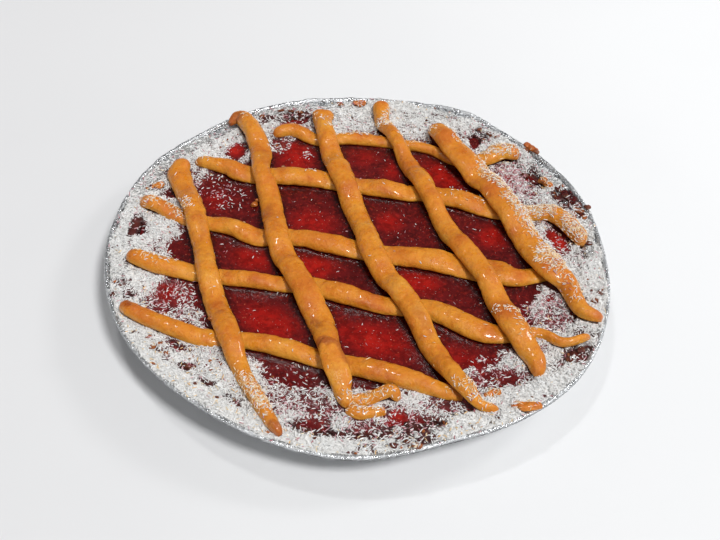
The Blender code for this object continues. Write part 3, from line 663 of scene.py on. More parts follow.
def build_tin():
    throat, low, high = THROAT_RADIUS, RIM_HEIGHT - FOIL, RIM_HEIGHT
    bead = RIM_RADIUS - BEAD_RADIUS
    wall = [(FOOT_RADIUS + 0.6 + s * (throat - 1.6 - FOOT_RADIUS), 1.2 + s * (low - 2.1)) for s in np.linspace(0, 1, 7)]
    under = [(throat + 0.6, low), (throat + 2.2, low - 0.1), (throat + 4.0, low), (throat + 5.6, low - 0.1),
             (bead - 1.4, low)]
    rolled = [(bead + BEAD_RADIUS * math.cos(a), high + BEAD_RADIUS * math.sin(a))
              for a in np.radians([-100, -65, -30, 0, 30, 60, 95, 130])]
    groove = [(bead - 1.35, high + 0.10), (bead - 1.9, high - 0.30), (bead - 2.6, high - 0.05)]
    flange = [(throat + s, high) for s in (6.0, 5.0, 4.0, 3.0, 2.0, 1.0)] + [(throat + 0.2, high - 0.05)]
    inside = [(throat - 1.2, high - 0.8), (FOOT_RADIUS, 2.0), (FOOT_RADIUS - 0.8, PANEL_RISE + FOIL),
              (0, PANEL_RISE + FOIL)]
    foot = [(0, PANEL_RISE), (60, PANEL_RISE), (PANEL_RADIUS, PANEL_RISE), (PANEL_RADIUS + 2, 0.0),
            (FOOT_RADIUS - 2, 0.0)]
    profile = foot + wall + under + rolled + groove + flange + inside
    first_flange = len(foot) + len(wall) + len(under) + len(rolled) - 1

    def crinkled(points, radius, height, degrees, ring):
        a = np.radians(degrees)
        x, y = np.cos(a) * 130, np.sin(a) * 130
        phase = a * TIN_CRIMPS + 2.2 * noise(x, y, 0.0, 14.0, 3)
        crimp = np.sin(phase) * (0.55 + 0.45 * noise(x, y, 0.0, 5.0, 4)) + 0.4 * noise(x, y, radius * 0.4, 1.3, 5)
        on_wall = (height > 2.5) & (height < RIM_HEIGHT + 0.1) & (radius < throat + 0.8) & (ring < first_flange)
        on_flange = (radius >= throat + 0.3) & (radius < bead - 1.6)
        on_bead = radius >= bead - 1.6
        outward = np.where(on_wall, 0.35 * smoothstep((height - 2.5) / 5), 0.0) + np.where(on_bead, 0.10, 0.0)
        upward = np.where(on_flange, 0.26, 0.0) + np.where(on_bead, 0.08, 0.0)
        crinkle = np.where(on_bead, 0.13, 0.06) * noise(x, y, radius * 0.8 + height, 1.1, 9)
        dents = noise(x, y, 0.0, 8.0, 6) * 0.28 + noise(x, y, height * 2, 3.0, 8) * 0.16
        lift = upward * crimp + np.where(on_flange | on_bead, dents + crinkle, 0.0)
        out = outward * crimp + np.where(on_wall | on_bead, 0.5 * dents + crinkle, 0.0)
        return np.stack([out * np.cos(a), out * np.sin(a), lift], -1)

    points, faces = turned(profile, TIN_SECTORS, crinkled)
    piece = add_mesh("tin_foil", points, faces, foil_finish(), ["foil_tin"], sharp=60)
    radius = np.repeat([r for r, _ in profile[1:-1]], TIN_SECTORS)
    height = np.repeat([z for _, z in profile[1:-1]], TIN_SECTORS)
    around = np.tile(np.arange(TIN_SECTORS) * 2 * np.pi / TIN_SECTORS, len(profile) - 2)
    # Painted shade for the foil: a broken dark line along the groove and a darker underside of the bead, a painted
    # reflection of the shadowed floor
    shade_breakup = 0.75 + 0.5 * noise(130 * np.cos(around), 130 * np.sin(around), radius, 2.0, 7)
    line = (np.abs(radius - (bead - 1.75)) < 0.5) & (height > high - 0.4)
    below = (radius > bead - 1.0) & (height < high + 0.1)
    return give(piece, groove=np.concatenate([np.clip(0.65 * line * shade_breakup + 1.0 * below * shade_breakup, 0, 1), [0, 0]]))


def build_shell():
    under = PANEL_RISE + FOIL + GAP
    foot = FOOT_RADIUS - 0.8
    depth = JAM_LEVEL - SHELL_FLOOR
    inner, outer = SHELL_INNER_RADIUS, foot + WALL_SLOPE * 20.4
    crest = [(outer + (inner + 0.6 - outer) * s, 23.1 + 0.45 * math.sin(math.pi * s)) for s in np.linspace(0, 1, 9)]
    profile = [(0, under), (foot, under), (foot + WALL_SLOPE * 9.0, 11.0), (foot + WALL_SLOPE * 20.0, 22.0)]
    profile += crest + [(inner + 0.2, 22.2), (inner - WALL_SLOPE * depth, SHELL_FLOOR), (0, SHELL_FLOOR)]
    clear = {}

    def crumbly(points, radius, height, degrees, ring):
        x, y = points[:, 0], points[:, 1]
        away = edge_distance(x, y, PASTRY_LINES)
        share = smoothstep((away - 0.5) / 4) * (height > 22.5)
        lift = layers(x, y, (0.5, 5.0, 31), (0.35, 1.8, 32), (0.2, 0.8, 33))
        clear["tone"] = 0.5 + 0.5 * rough_noise(x, y, 0.0, 7.0, 34)
        clear["bare"] = smoothstep((0.72 - coconut_cover(x, y)) / 0.3)
        lift = share * lift - 1.15 * clear["bare"] * (height > 22.5)
        return np.stack([np.zeros_like(x), np.zeros_like(x), lift], -1)

    points, faces = turned(profile, SHELL_SECTORS, crumbly)
    piece = add_mesh("shell_crust", points, faces, pastry_finish("shell_crust", 1.0), ["pastry_shell"])
    tone = np.concatenate([clear["tone"], [0.5, 0.5]])
    shade = mix_colours(linear(196, 140, 70), linear(224, 196, 150), smoothstep((tone - 0.3) / 0.5))
    shade = tinted(shade, ((130, 70, 34), smoothstep((tone - 0.68) / 0.15) * 0.7))
    bare = np.concatenate([clear["bare"], [0, 0]])
    jammy = mix_colours(linear(62, 10, 10), linear(116, 34, 24), smoothstep((tone - 0.5) / 0.35))
    shade = mix_colours(shade, jammy, np.minimum(1.0, bare + 0.6 * smoothstep((points[:, 2] - 22.2) / 0.3)))
    return give(piece, shade=shade, gloss=bare)


def around_rim(degrees, spots, start, radius=0.0):
    """The greatest of the spots' shares at each direction, where each spot fades out over its own spread."""
    share = np.full(np.shape(degrees), start)
    for middle, spread, level, *reach in spots:
        here = level * np.exp(-(direction_gap(degrees, middle) / spread) ** 4)
        share = np.maximum(share, here * (smoothstep((reach[0] - radius) / 1.5) if reach else 1.0))
    return share


def coconut_cover(x, y):
    """The share of the place that coconut hides, from 0 to 1, on jam, shell and flange."""
    radius, degrees = flat_radius(x, y)
    ragged = layers(x, y, (6, 16.0, 51), (3, 6.0, 52))
    ring = 0.82 * smoothstep((radius - 97 + ragged) / 10)
    value = patch_share(x, y, COCONUT_PATCHES, 0.02 + ring)
    on_rim = around_rim(degrees, RIM_COCONUT, 0.2)
    rim = smoothstep((radius - 127.5) / 3)
    ragged = layers(x, y, (1.6, 9.0, 53), (0.8, 3.0, 54))
    reach = 132.6 + 5.6 * on_rim - 3.0 * around_rim(degrees, BARE_BEAD, 0.0)
    edge = smoothstep((radius - reach - ragged) / 1.2)
    mottled = layers(x, y, (0.16, 5.0, 55), (0.12, 2.2, 56), start=value)
    value = np.clip(mottled - 0.03, 0, 1) * (value > 0.04)
    return value * (1 - rim) + rim * np.minimum(on_rim, value + 0.3) * (1 - edge)


def jam_relief(x, y, away, cover):
    """The jam sags between the ropes, climbs a little at their sides, and the coconut on it stands in low drifts."""
    clear = smoothstep((away - 0.5) / 7)
    sag = -0.85 * (0.5 + 0.5 * noise(x, y, 0.0, 24.0, 5)) * clear
    climb = 0.75 * np.exp(-np.maximum(away, 0) / 1.1)
    ripple = layers(x, y, (0.16, 6.5, 41), (0.07, 2.6, 42))
    heap = smoothstep((cover - 0.45) / 0.5) * smoothstep((away + 2.2) / 1.8)
    drift = heap * layers(x, y, (0.45, 7.0, 43), (0.35, 2.6, 44), (0.2, 1.1, 45), start=1.05)
    drift = drift + 1.5 * heap * np.exp(-np.maximum(away, 0) / 1.8)
    return sag * (1 - heap) + climb * (1 - heap) + ripple + drift


def jam_colour(x, y, away):
    """Painted shade, dark near the ropes with a lighter red between them, and a painted glow of light through the jam,
    red to vivid red in the bright patches.
    """
    mottle = rough_noise(x, y, 0.0, 13.0, 61)
    fine = rough_noise(x, y, 0.0, 3.6, 62)
    painted_glow = np.zeros(np.shape(x))
    for patch in PAINTED_GLOW_PATCHES:
        u, v = patch_axes(x, y, patch)
        painted_glow = np.maximum(painted_glow, patch[-1] * np.exp(-0.75 * (u * u + v * v)))
    painted_glow = painted_glow * (1 + 0.22 * mottle + 0.30 * fine)
    # Painted shade darkens the jam towards the ropes, and the patches add a painted glow
    return tinted(linear(60, 8, 8),
                  ((104, 20, 22), smoothstep((away + 0.2) / 5.0) * np.clip(0.72 + 0.3 * mottle, 0, 1)),
                  ((156, 20, 14), smoothstep(painted_glow * 1.15) * smoothstep((away + 0.3) / 3.5)),
                  ((205, 40, 26), smoothstep((painted_glow - 0.8) / 0.7) * 0.75))


def build_jam():
    """A square grid of cells pressed into a disc, with a skirt and a flat base below it."""
    n = JAM_CELLS
    line = np.linspace(-1, 1, n + 1)
    u, v = np.meshgrid(line, line, indexing="ij")
    wide = np.abs(u) >= np.abs(v)
    r = np.where(wide, u, v)
    with np.errstate(divide="ignore", invalid="ignore"):
        turn = np.where(wide, (np.pi / 4) * np.nan_to_num(v / u), np.pi / 2 - (np.pi / 4) * np.nan_to_num(u / v))
    edge = SHELL_INNER_RADIUS + 0.15
    fx, fy = (edge * r * np.cos(turn)).ravel(), (edge * r * np.sin(turn)).ravel()
    radius, degrees = np.hypot(fx, fy), np.degrees(np.arctan2(fy, fx))
    top = bent(radius, np.full(radius.shape, JAM_LEVEL), degrees)
    x, y = top[:, 0], top[:, 1]
    away = edge_distance(x, y, PASTRY_LINES)
    cover = coconut_cover(x, y)
    relief = jam_relief(x, y, away, cover)
    border = smoothstep((edge - radius) / 1.5)
    top[:, 2] += relief * (0.35 + 0.65 * border)
    i, j = np.meshgrid(np.arange(n), np.arange(n), indexing="ij")
    a = (i * (n + 1) + j).ravel()
    faces = np.stack([a, a + n + 1, a + n + 2, a + 1], -1)
    rim = np.concatenate([
        np.arange(n) * (n + 1), n * (n + 1) + np.arange(n), (n - np.arange(n)) * (n + 1) + n, n - np.arange(n)])
    low = bent(np.full(rim.shape, edge - 0.8 - WALL_SLOPE * (JAM_LEVEL - SHELL_FLOOR - GAP)),
               np.full(rim.shape, SHELL_FLOOR + GAP), degrees[rim])
    below = len(top) + np.arange(len(rim))
    after, below_after = np.roll(rim, -1), np.roll(below, -1)
    skirt = np.stack([rim, below, below_after, after], -1)
    middle = len(top) + len(rim)
    base = np.stack([np.full(rim.shape, middle), below_after, below], -1)
    points = np.concatenate([top, low, [[0, 0, SHELL_FLOOR + GAP]]])
    piece = add_mesh("jam_bed", points, [np.concatenate([faces, skirt]), base], jam_finish(), ["jam"])
    snow = 0.88 * smoothstep((cover - 0.42) / 0.58) * smoothstep((away + 2.4) / 1.4)
    shade = tinted(jam_colour(x, y, away), ((122, 78, 80), 0.45 * smoothstep((cover - 0.25) / 0.6)))
    rest = len(rim) + 1
    return give(piece, shade=np.concatenate([shade, np.tile(linear(90, 20, 18), (rest, 1))]),
                snow=np.concatenate([snow, np.zeros(rest)]))


def swept(stations, low, tall, seed, round_ends=ROUND_END, lumps=1.0):
    """Points and faces of a rope along fine stations, with rounded ends and hand-rolled unevenness."""
    count, around = len(stations), ROPE_AROUND
    along = tangents(stations)
    steps = np.concatenate([[0], np.cumsum(np.hypot(*np.diff(stations[:, :2], axis=0).T))])
    ends = np.ones(count)
    for distance, reach in ((steps, round_ends[0]), (steps[-1] - steps, round_ends[1])):
        reach = max(reach * stations[:, 2].mean(), 1.0)
        t = np.clip(distance / reach, 0.02, 1)
        ends = np.minimum(ends, np.sqrt(1 - (1 - t) ** 2))
    half = stations[:, 2] / 2 * (0.25 + 0.75 * ends)
    half = half * (1 + 0.03 * lumps * noise(steps, seed * 3.1, 0.0, 9.0, seed))
    height = tall * (0.35 + 0.65 * ends)
    a = np.linspace(0, 2 * np.pi, around, endpoint=False)
    ca, sa = np.sign(np.cos(a)) * np.abs(np.cos(a)) ** 0.9, np.sin(a)
    side = np.sign(ca)[None] * 7.0
    wobble = (0.05 * noise(steps[:, None], side, seed * 3.7, 7.0, 85)
              + 0.035 * noise(steps[:, None], side, seed * 2.9, 3.2, 86))
    off = half[:, None] * ca[None] * (1 + lumps * wobble)
    z = low[:, None] + height[:, None] * (0.38 + np.where(sa > 0, 0.62, 0.38) * sa)[None]
    x = stations[:, 0, None] + along[:, 1, None] * off
    y = stations[:, 1, None] - along[:, 0, None] * off
    grain = lumps * (0.30 * noise(x, y, z, 8.0, 81 + seed) + 0.24 * noise(x, y, z, 3.2, 82)
                     + 0.11 * noise(x, y, z, 1.5, 83))
    across = a[None] * 2.2 * np.sign(np.pi - a[None])
    folds = noise(steps[:, None] * 0.25, across, seed * 1.7, 1.0, 84)
    crease = -0.32 * lumps * smoothstep((folds - 0.45) / 0.3)
    push = (grain + crease) * (0.3 + 0.7 * smoothstep((sa + 0.4) / 0.6))[None] * ends[:, None]
    nx, nz = ca[None] * np.ones_like(z), sa[None] * np.ones_like(z)
    x = x + along[:, 1, None] * nx * push
    y = y - along[:, 0, None] * nx * push
    z = z + nz * push
    points = np.stack([x, y, z], -1).reshape(-1, 3)
    middles = np.stack([points[:around].mean(0), points[-around:].mean(0)])
    up = np.concatenate([np.tile(sa, count), [0, 0]])
    at = np.concatenate([np.repeat(steps, around), [0, steps[-1]]])
    return np.concatenate([points, middles]), ring_faces(count, around, True), up, at


def build_bed():
    """The coconut heaped over the crust's edge and the flange, and dried jam there, closed at its ragged borders."""
    sectors = BED_SECTORS
    degrees = np.tile(np.arange(sectors) * 360 / sectors, BED_RINGS)
    radius = np.repeat(np.linspace(119.5, 138.9, BED_RINGS), sectors)
    crest = np.interp(radius, [119, 123.6, 124.6, 127.5, 129.8, 136.0, 137.2, 138.0, 138.9],
                      [22.0, 22.1, 23.3, 23.5, 24.0, 24.0, 24.5, 25.1, 25.3])
    points = bent(radius, crest, degrees)
    x, y = points[:, 0], points[:, 1]
    away = edge_distance(x, y, PASTRY_LINES)
    cover = coconut_cover(x, y)
    inside = smoothstep((radius - 119.8) / 2.5) * smoothstep((138.8 - radius) / 1.0)
    heap = smoothstep((cover - 0.42) / 0.4) * smoothstep((away + 2.0) / 1.6) * inside
    fine = noise(x, y, 0.0, 2.4, 44)
    ragged = layers(x, y, (0.5, 4.0, 45), (0.35, 1.7, 46))
    jammy = around_rim(degrees, RIM_JAM, 0.0, radius) * smoothstep((radius - 123.5) / 3) * inside
    jammy = smoothstep((jammy + ragged - 0.35) / 0.25) * (jammy > 0.05) * smoothstep((away + 0.4) / 2)
    banked = 1.1 * np.exp(-np.maximum(away, 0) / 1.8) + 0.75
    rise = heap * (banked + 0.4 * noise(x, y, 0.0, 6.0, 43) + 0.35 * fine + 0.2 * noise(x, y, 0.0, 1.0, 47))
    rise = np.maximum(rise, jammy * (0.45 + 0.3 * fine + 0.2 * noise(x, y, 0.0, 1.2, 48)))
    there = np.maximum(heap, jammy)
    points[:, 2] += np.where(there > 0.02, rise - 0.5 * (1 - there), -0.5)
    under = points.copy()
    under[:, 2] = np.minimum(points[:, 2], bent(radius, crest, degrees)[:, 2] - 0.5)
    place = np.arange(len(points))
    shown = there.reshape(BED_RINGS, sectors) > 0.02
    r, k = np.meshgrid(np.arange(BED_RINGS - 1), np.arange(sectors), indexing="ij")
    after = (k + 1) % sectors
    kept = (shown[r, k] | shown[r, after] | shown[r + 1, k] | shown[r + 1, after]).ravel()
    a, b = (r * sectors + k).ravel()[kept], ((r + 1) * sectors + k).ravel()[kept]
    c, d = ((r + 1) * sectors + after).ravel()[kept], (r * sectors + after).ravel()[kept]
    below = np.where(there > 0.02, place + len(points), place)
    quads = np.concatenate([np.stack([a, b, c, d], -1), np.stack([below[d], below[c], below[b], below[a]], -1)])
    used, quads = np.unique(quads, return_inverse=True)
    everything = np.concatenate([points, under])[used]
    piece = add_mesh("coconut_bed", everything, [quads.reshape(-1, 4)], bed_finish())
    flange = smoothstep((radius - 129) / 2) * (1 - jammy)
    # Dark red: the jam and dried jam under the coconut, and painted shade in the gaps between the shreds
    dark = mix_colours(linear(46, 8, 10), linear(92, 32, 24), smoothstep(0.4 + 0.6 * noise(x, y, 0.0, 3.0, 49)))
    shade = mix_colours(dark, linear(150, 149, 147), flange)
    snow = 0.88 * smoothstep((cover - 0.42) / 0.58) * (1 - 0.9 * jammy)
    return give(piece, shade=np.tile(shade, (2, 1))[used], snow=np.tile(snow, 2)[used])


def coarse_shape(points, step, kind):
    """The CAD's underside and height at its own stations, and how far along each one is."""
    stations, at = route(points, step)
    full = ROPE_HEIGHT * np.minimum(1.0, 0.35 + stations[:, 2] / 18)
    low = floor_under(stations)
    if kind == "cross":
        share = pressed(stations[:, 0], stations[:, 1])
        return low, full + (np.minimum(full, PRESSED_HEIGHT) - full) * share, at
    low = low + (PRESSED_HEIGHT + 2 * GAP) * highest_across(stations, lifted)
    if kind == "branch":
        return low, np.full(len(stations), 4.6), at
    return low, full - 1.2 * lifted(stations[:, 0], stations[:, 1]), at


def smooth_interp(at, known_at, known):
    t = np.interp(at, known_at, np.arange(len(known)))
    return spline(np.asarray(known)[:, None], t)[:, 0]


def softened(values, at, reach):
    """Values along a rope, averaged over about this many millimetres."""
    share = np.exp(-((at[:, None] - at[None]) / reach) ** 2)
    return (share * values[None]).sum(1) / share.sum(1)


def rope_paint(points, up, at, length, seed, crossings):
    """Golden tops with browner blushes, paler sides (less browned, and a painted rim light), and darker undersides, a
    painted shade.
    """
    x, y, z = points.T
    blush = rough_noise(x, y, z, 15.0, 91 + seed)
    streak = noise(at * 0.12, up * 1.4, seed * 2.3, 1.0, 92)
    tone = 0.5 + 0.42 * blush + 0.22 * streak + 0.12 * np.clip(up, -1, 1)
    near = smoothstep(1 - edge_distance(x, y, crossings) / 5.0) if crossings else np.zeros(len(x))
    tips = smoothstep(1 - np.minimum(at, length - at) / 7.0)
    base = tinted(linear(230, 164, 56),
                  ((217, 133, 25), smoothstep(tone * 1.5)),
                  ((194, 98, 16), smoothstep((tone - 0.58) / 0.35) * 0.85),
                  ((162, 72, 12), smoothstep((tone - 0.86) / 0.3) * 0.6),
                  # Paler sides: partly less browned dough, partly a painted rim light
                  ((232, 172, 58), smoothstep(1 - np.abs(up) / 0.7) * 0.50),
                  # Painted shade: the undersides darker
                  ((196, 120, 30), smoothstep((-up - 0.25) / 0.6) * 0.5),
                  ((222, 166, 60), near * 0.35),
                  ((150, 68, 18), patch_share(x, y, ROPE_BROWN, np.zeros(len(x)), 0.5, 3.0)),
                  ((188, 96, 22), tips * (0.45 + 0.4 * blush)))
    gloss = smoothstep(0.5 + 0.9 * noise(x, y, z, 9.0, 95) + 0.3 * up)
    return base, gloss


def build_rope(name, table, kind):
    """One rope with its thin fingers, and on over_rope_2 the folded lip, as one piece."""
    step = CROSS_STEP if kind == "cross" else OVER_STEP
    seed = (0 if kind == "cross" else 5) + int(name[-1])
    low, tall, known = coarse_shape(table, step, kind)
    stations, at = route(table, ROPE_FINE)
    low = softened(smooth_interp(at, known, low), at, 5.0) - 0.5
    tall = softened(smooth_interp(at, known, tall), at, 5.0) + 0.5
    points, faces, up, along = swept(stations, low, tall, seed, ROPE_ENDS.get(name, ROUND_END))
    groups = [(points, faces, up, along, at[-1])]
    rope, rope_top = stations, low + tall
    for n, line in enumerate(BRANCHES.get(name, [])):
        low, tall, known = coarse_shape(line, 4.0, "branch")
        stations, at = route(line, ROPE_FINE)
        low, tall = smooth_interp(at, known, low) - 0.4, smooth_interp(at, known, tall) + 0.2
        parts = swept(stations, low, tall, seed + 20 + n)
        groups.append((*parts, at[-1]))
    if name == "over_rope_2":
        stations, at = route(FOLD, ROPE_FINE)
        nearest = np.hypot(*(stations[:, None, :2] - rope[None, :, :2]).transpose(2, 0, 1)).argmin(1)
        top = softened(rope_top[nearest], at, 5.0) + np.linspace(1.9, -0.7, len(at))
        parts = swept(stations, top - 4.6, np.full(len(at), 4.6), seed + 30, ROUND_END, 0.7)
        groups.append((*parts, at[-1]))
    rows, start = [], 0
    others = OVER_LINES if kind == "cross" else []
    for part, faces, up, along, length in groups:
        rows.append((part, faces[0] + start, faces[1] + start, *rope_paint(part, up, along, length, seed, others)))
        start += len(part)
    points, quads, caps, shade, gloss = map(np.concatenate, zip(*rows))
    piece = add_mesh(name.replace("rope", "strand"), points, [quads, caps], PASTRY, [name])
    return give(piece, shade=shade, gloss=gloss)


def build_chip(name, x, y, length, width, height, degrees):
    """A torn bit, swept along a short uneven line and about a tenth smaller than its solid."""
    seed = 40 + int(name[-1])
    ux, uy = math.cos(math.radians(degrees)), math.sin(math.radians(degrees))
    draw = np.random.default_rng(seed)
    table = []
    for s in np.linspace(-0.5, 0.5, 6):
        wide, aside = (0.62 + 0.30 * draw.random()) * (1 - 1.6 * s * s), 0.15 * width * draw.uniform(-1, 1)
        ahead = 0.88 * s * length
        table.append((x + ahead * ux - aside * uy, y + ahead * uy + aside * ux, 0.88 * wide * width))
    stations, at = route(table, 0.4)
    under = floor_under(stations).max() - 0.9
    tall = height * (0.86 + 0.25 * noise(at, seed * 1.3, 0.0, 2.4, seed))
    points, faces, up, along = swept(stations, np.full(len(at), under), tall, seed, ROUND_END, 2.4)
    piece = add_mesh(name.replace("loose_chip", "pastry_bit"), points, faces, PASTRY, [name])
    shade, gloss = rope_paint(points, up, along, at[-1], seed, [])
    return give(piece, shade=tinted(shade, ((190, 98, 34), 0.45)), gloss=gloss * 0.5)


def build_spill():
    """A low lumpy cushion of rings that narrow upwards, longer along the flange than across it."""
    around, rings = SPILL_POINTS, SPILL_RINGS
    radius = THROAT_RADIUS + 0.5 + SPILL_WIDTH / 2
    outwards, _ = rim_wave(np.array(SPILL_ANGLE))
    a = np.tile(2 * np.pi * np.arange(around) / around, rings)
    narrowing = np.linspace(0.985, 0.08, rings - 2)
    size = np.repeat(np.concatenate([[1.0, 1.0], narrowing]), around)
    rise = np.repeat(np.concatenate([[0.0, 0.45], np.sqrt(1 - narrowing ** 2) * 0.75 + 0.3]), around)
    uneven = size * (1 + 0.14 * np.sin(3 * a + 1) + 0.10 * np.sin(5 * a) + 0.10 * np.sin(11 * a + 2)
                     + 0.08 * np.sin(19 * a + 1) + 0.06 * np.sin(29 * a))
    out, along = uneven * SPILL_WIDTH / 2 * np.cos(a), uneven * SPILL_LENGTH / 2 * np.sin(a)
    turn = math.radians(SPILL_ANGLE) + along / radius
    x, y = (radius + outwards + out) * np.cos(turn), (radius + outwards + out) * np.sin(turn)
    level = RIM_HEIGHT + 0.15 + rim_wave(np.degrees(turn))[1]
    bumps = layers(x, y, (0.55, 3.0, 101), (0.5, 1.4, 102))
    z = level + rise * SPILL_HEIGHT * 1.05 + bumps * smoothstep(rise * 2)
    points = np.stack([x, y, z], -1)
    points = np.concatenate([points, [points[:around].mean(0), points[-around:].mean(0)]])
    piece = add_mesh("jam_boiled_over", points, ring_faces(rings, around), JAM, ["jam_spill"])
    tone = 0.5 + 0.5 * rough_noise(points[:, 0], points[:, 1], 0.0, 5.0, 103)
    return give(piece, shade=tinted(linear(38, 8, 10), ((88, 20, 20), tone)), snow=np.zeros(len(points)))


def build_crumbs(below, name, rows, seed):
    """Torn crumbs, each a lumpy ball of its own size resting a little sunk on what is under it."""
    draw = np.random.default_rng(seed)
    ball = bmesh.new()
    bmesh.ops.create_icosphere(ball, subdivisions=3, radius=0.5)
    unit = np.array([v.co[:] for v in ball.verts])
    facets = np.array([[v.index for v in face.verts] for face in ball.faces])
    ball.free()
    xy = np.array([row[:2] for row in rows], float)
    z, _, which = cast_down(below, xy)
    points, faces, shades, start = [], [], [], 0
    for (x, y, length, width, height, turn, brown), level, hit in zip(rows, z, which):
        if hit < 0:
            continue
        shift = draw.uniform(0, 50)
        ux, uy, uz = unit[:, 0] + shift, unit[:, 1], unit[:, 2]
        lump = 1 + 0.34 * noise(ux, uy, uz, 0.42, seed) + 0.22 * noise(ux, uy, uz, 0.2, seed + 1)
        body = unit * lump[:, None] * (length, width, height)
        c, s = math.cos(math.radians(turn)), math.sin(math.radians(turn))
        body = np.column_stack([c * body[:, 0] - s * body[:, 1], s * body[:, 0] + c * body[:, 1], body[:, 2]])
        points.append(body + (x, y, level + 0.28 * height))
        faces.append(facets + start)
        start += len(unit)
        # Painted shade: each crumb darker in its dents and lighter on its bumps, with some random spread
        tone = np.clip(0.5 + 0.9 * (lump - 1) + draw.normal(0, 0.1), 0, 1)
        light = tinted(linear(96, 26, 18), ((226, 138, 50), np.full(len(unit), brown)))
        painted_dent_shade = tinted(linear(52, 8, 8), ((168, 84, 26), np.full(len(unit), brown)))
        shades.append(mix_colours(painted_dent_shade, light, tone))
    piece = add_mesh(name, np.concatenate(points), [np.concatenate(faces)], PASTRY)
    return give(piece, shade=np.concatenate(shades), gloss=np.full(len(piece.data.vertices), 0.6))


def scattered_crumbs(count, seed):
    """Small burnt crumbs of jam and pastry in the ring of coconut and on the flange."""
    draw = np.random.default_rng(seed)
    radius, angle = draw.uniform(101, 137, count), draw.uniform(-180, 180, count)
    xy = bent(radius, np.full(count, RIM_HEIGHT), angle)[:, :2]
    free = edge_distance(xy[:, 0], xy[:, 1], PASTRY_LINES) > 0.5
    return [(x, y, *draw.uniform((1.0, 0.8, 0.6), (2.6, 1.7, 1.2)), draw.uniform(0, 180),
             draw.choice((0.0, 0.05, 0.3, 0.55))) for x, y in xy[free]]


# Coconut

SHRED_STATIONS = np.array([-0.5, -0.2, 0.22, 0.5])
SHRED_WIDTHS = np.array([0.0, 1.0, 0.9, 0.0])


def unit_length(rows):
    return rows / np.linalg.norm(rows, axis=1)[:, None]


def build_shreds(name, places, normals, turn, length, width, lift, tilt, curl, shades):
    """Curved slivers with three edges and pointed tips, each lying on its own place."""
    n = len(places)
    helper = np.stack([np.cos(turn), np.sin(turn), np.zeros(n)], -1)
    t = unit_length(helper - (helper * normals).sum(1)[:, None] * normals)
    t = unit_length(t + normals * tilt[:, None])
    b = unit_length(np.cross(normals, t))
    up = np.cross(t, b)
    base = places + normals * lift[:, None]
    rows = []
    for s, w in zip(SHRED_STATIONS, SHRED_WIDTHS):
        bow = curl[:, 0] * (4 * s * s - 0.6) * length * 0.22
        arch = curl[:, 1] * (0.5 - 4 * s * s) * length * 0.12
        middle = base + t * (s * length)[:, None] + b * bow[:, None] + up * arch[:, None]
        if w == 0.0:
            rows.append(middle[:, None])
            continue
        half, thick = (0.5 * w * width)[:, None], (0.42 * w * width)[:, None]
        sunk = up * thick * 0.4
        rows.append(np.stack([middle - b * half - sunk, middle + b * half - sunk, middle + up * thick], 1))
    points = np.concatenate(rows, 1)
    per = points.shape[1]
    faces = []
    for k, m in ((0, 1), (1, 2), (2, 0)):
        faces += [(0, 1 + m, 1 + k), (1 + k, 1 + m, 4 + m), (1 + k, 4 + m, 4 + k), (7, 4 + k, 4 + m)]
    faces = (np.array(faces)[None] + (np.arange(n) * per)[:, None, None]).reshape(-1, 3)
    piece = add_mesh(name, points.reshape(-1, 3), [faces], coconut_finish(name), sharp=70)
    return give(piece, shade=np.repeat(shades, per, axis=0))


def cast_down(trees, xy):
    """The highest surface at each place: height, normal and the number of the tree that was hit, or -1."""
    z, normal, which = np.full(len(xy), -1.0), np.zeros((len(xy), 3)), np.full(len(xy), -1)
    down = Vector((0, 0, -1))
    for n, (tree, low, high) in enumerate(trees):
        inside = np.nonzero((xy >= low).all(1) & (xy <= high).all(1))[0]
        for i in inside:
            hit, facing, _, _ = tree.ray_cast(Vector((xy[i, 0] * MM, xy[i, 1] * MM, 0.08)), down)
            if hit is not None and hit.z / MM > z[i]:
                z[i], normal[i], which[i] = hit.z / MM, facing, n
    return z, normal, which


def search_trees(pieces):
    """For each piece, what a ray is cast at, and the corner places of its outline seen from above."""
    graph = bpy.context.evaluated_depsgraph_get()
    trees = []
    for piece in pieces:
        co = np.zeros(len(piece.data.vertices) * 3, np.float32)
        piece.data.vertices.foreach_get("co", co)
        co = co.reshape(-1, 3)[:, :2] / MM
        trees.append((BVHTree.FromObject(piece, graph), co.min(0), co.max(0)))
    return trees


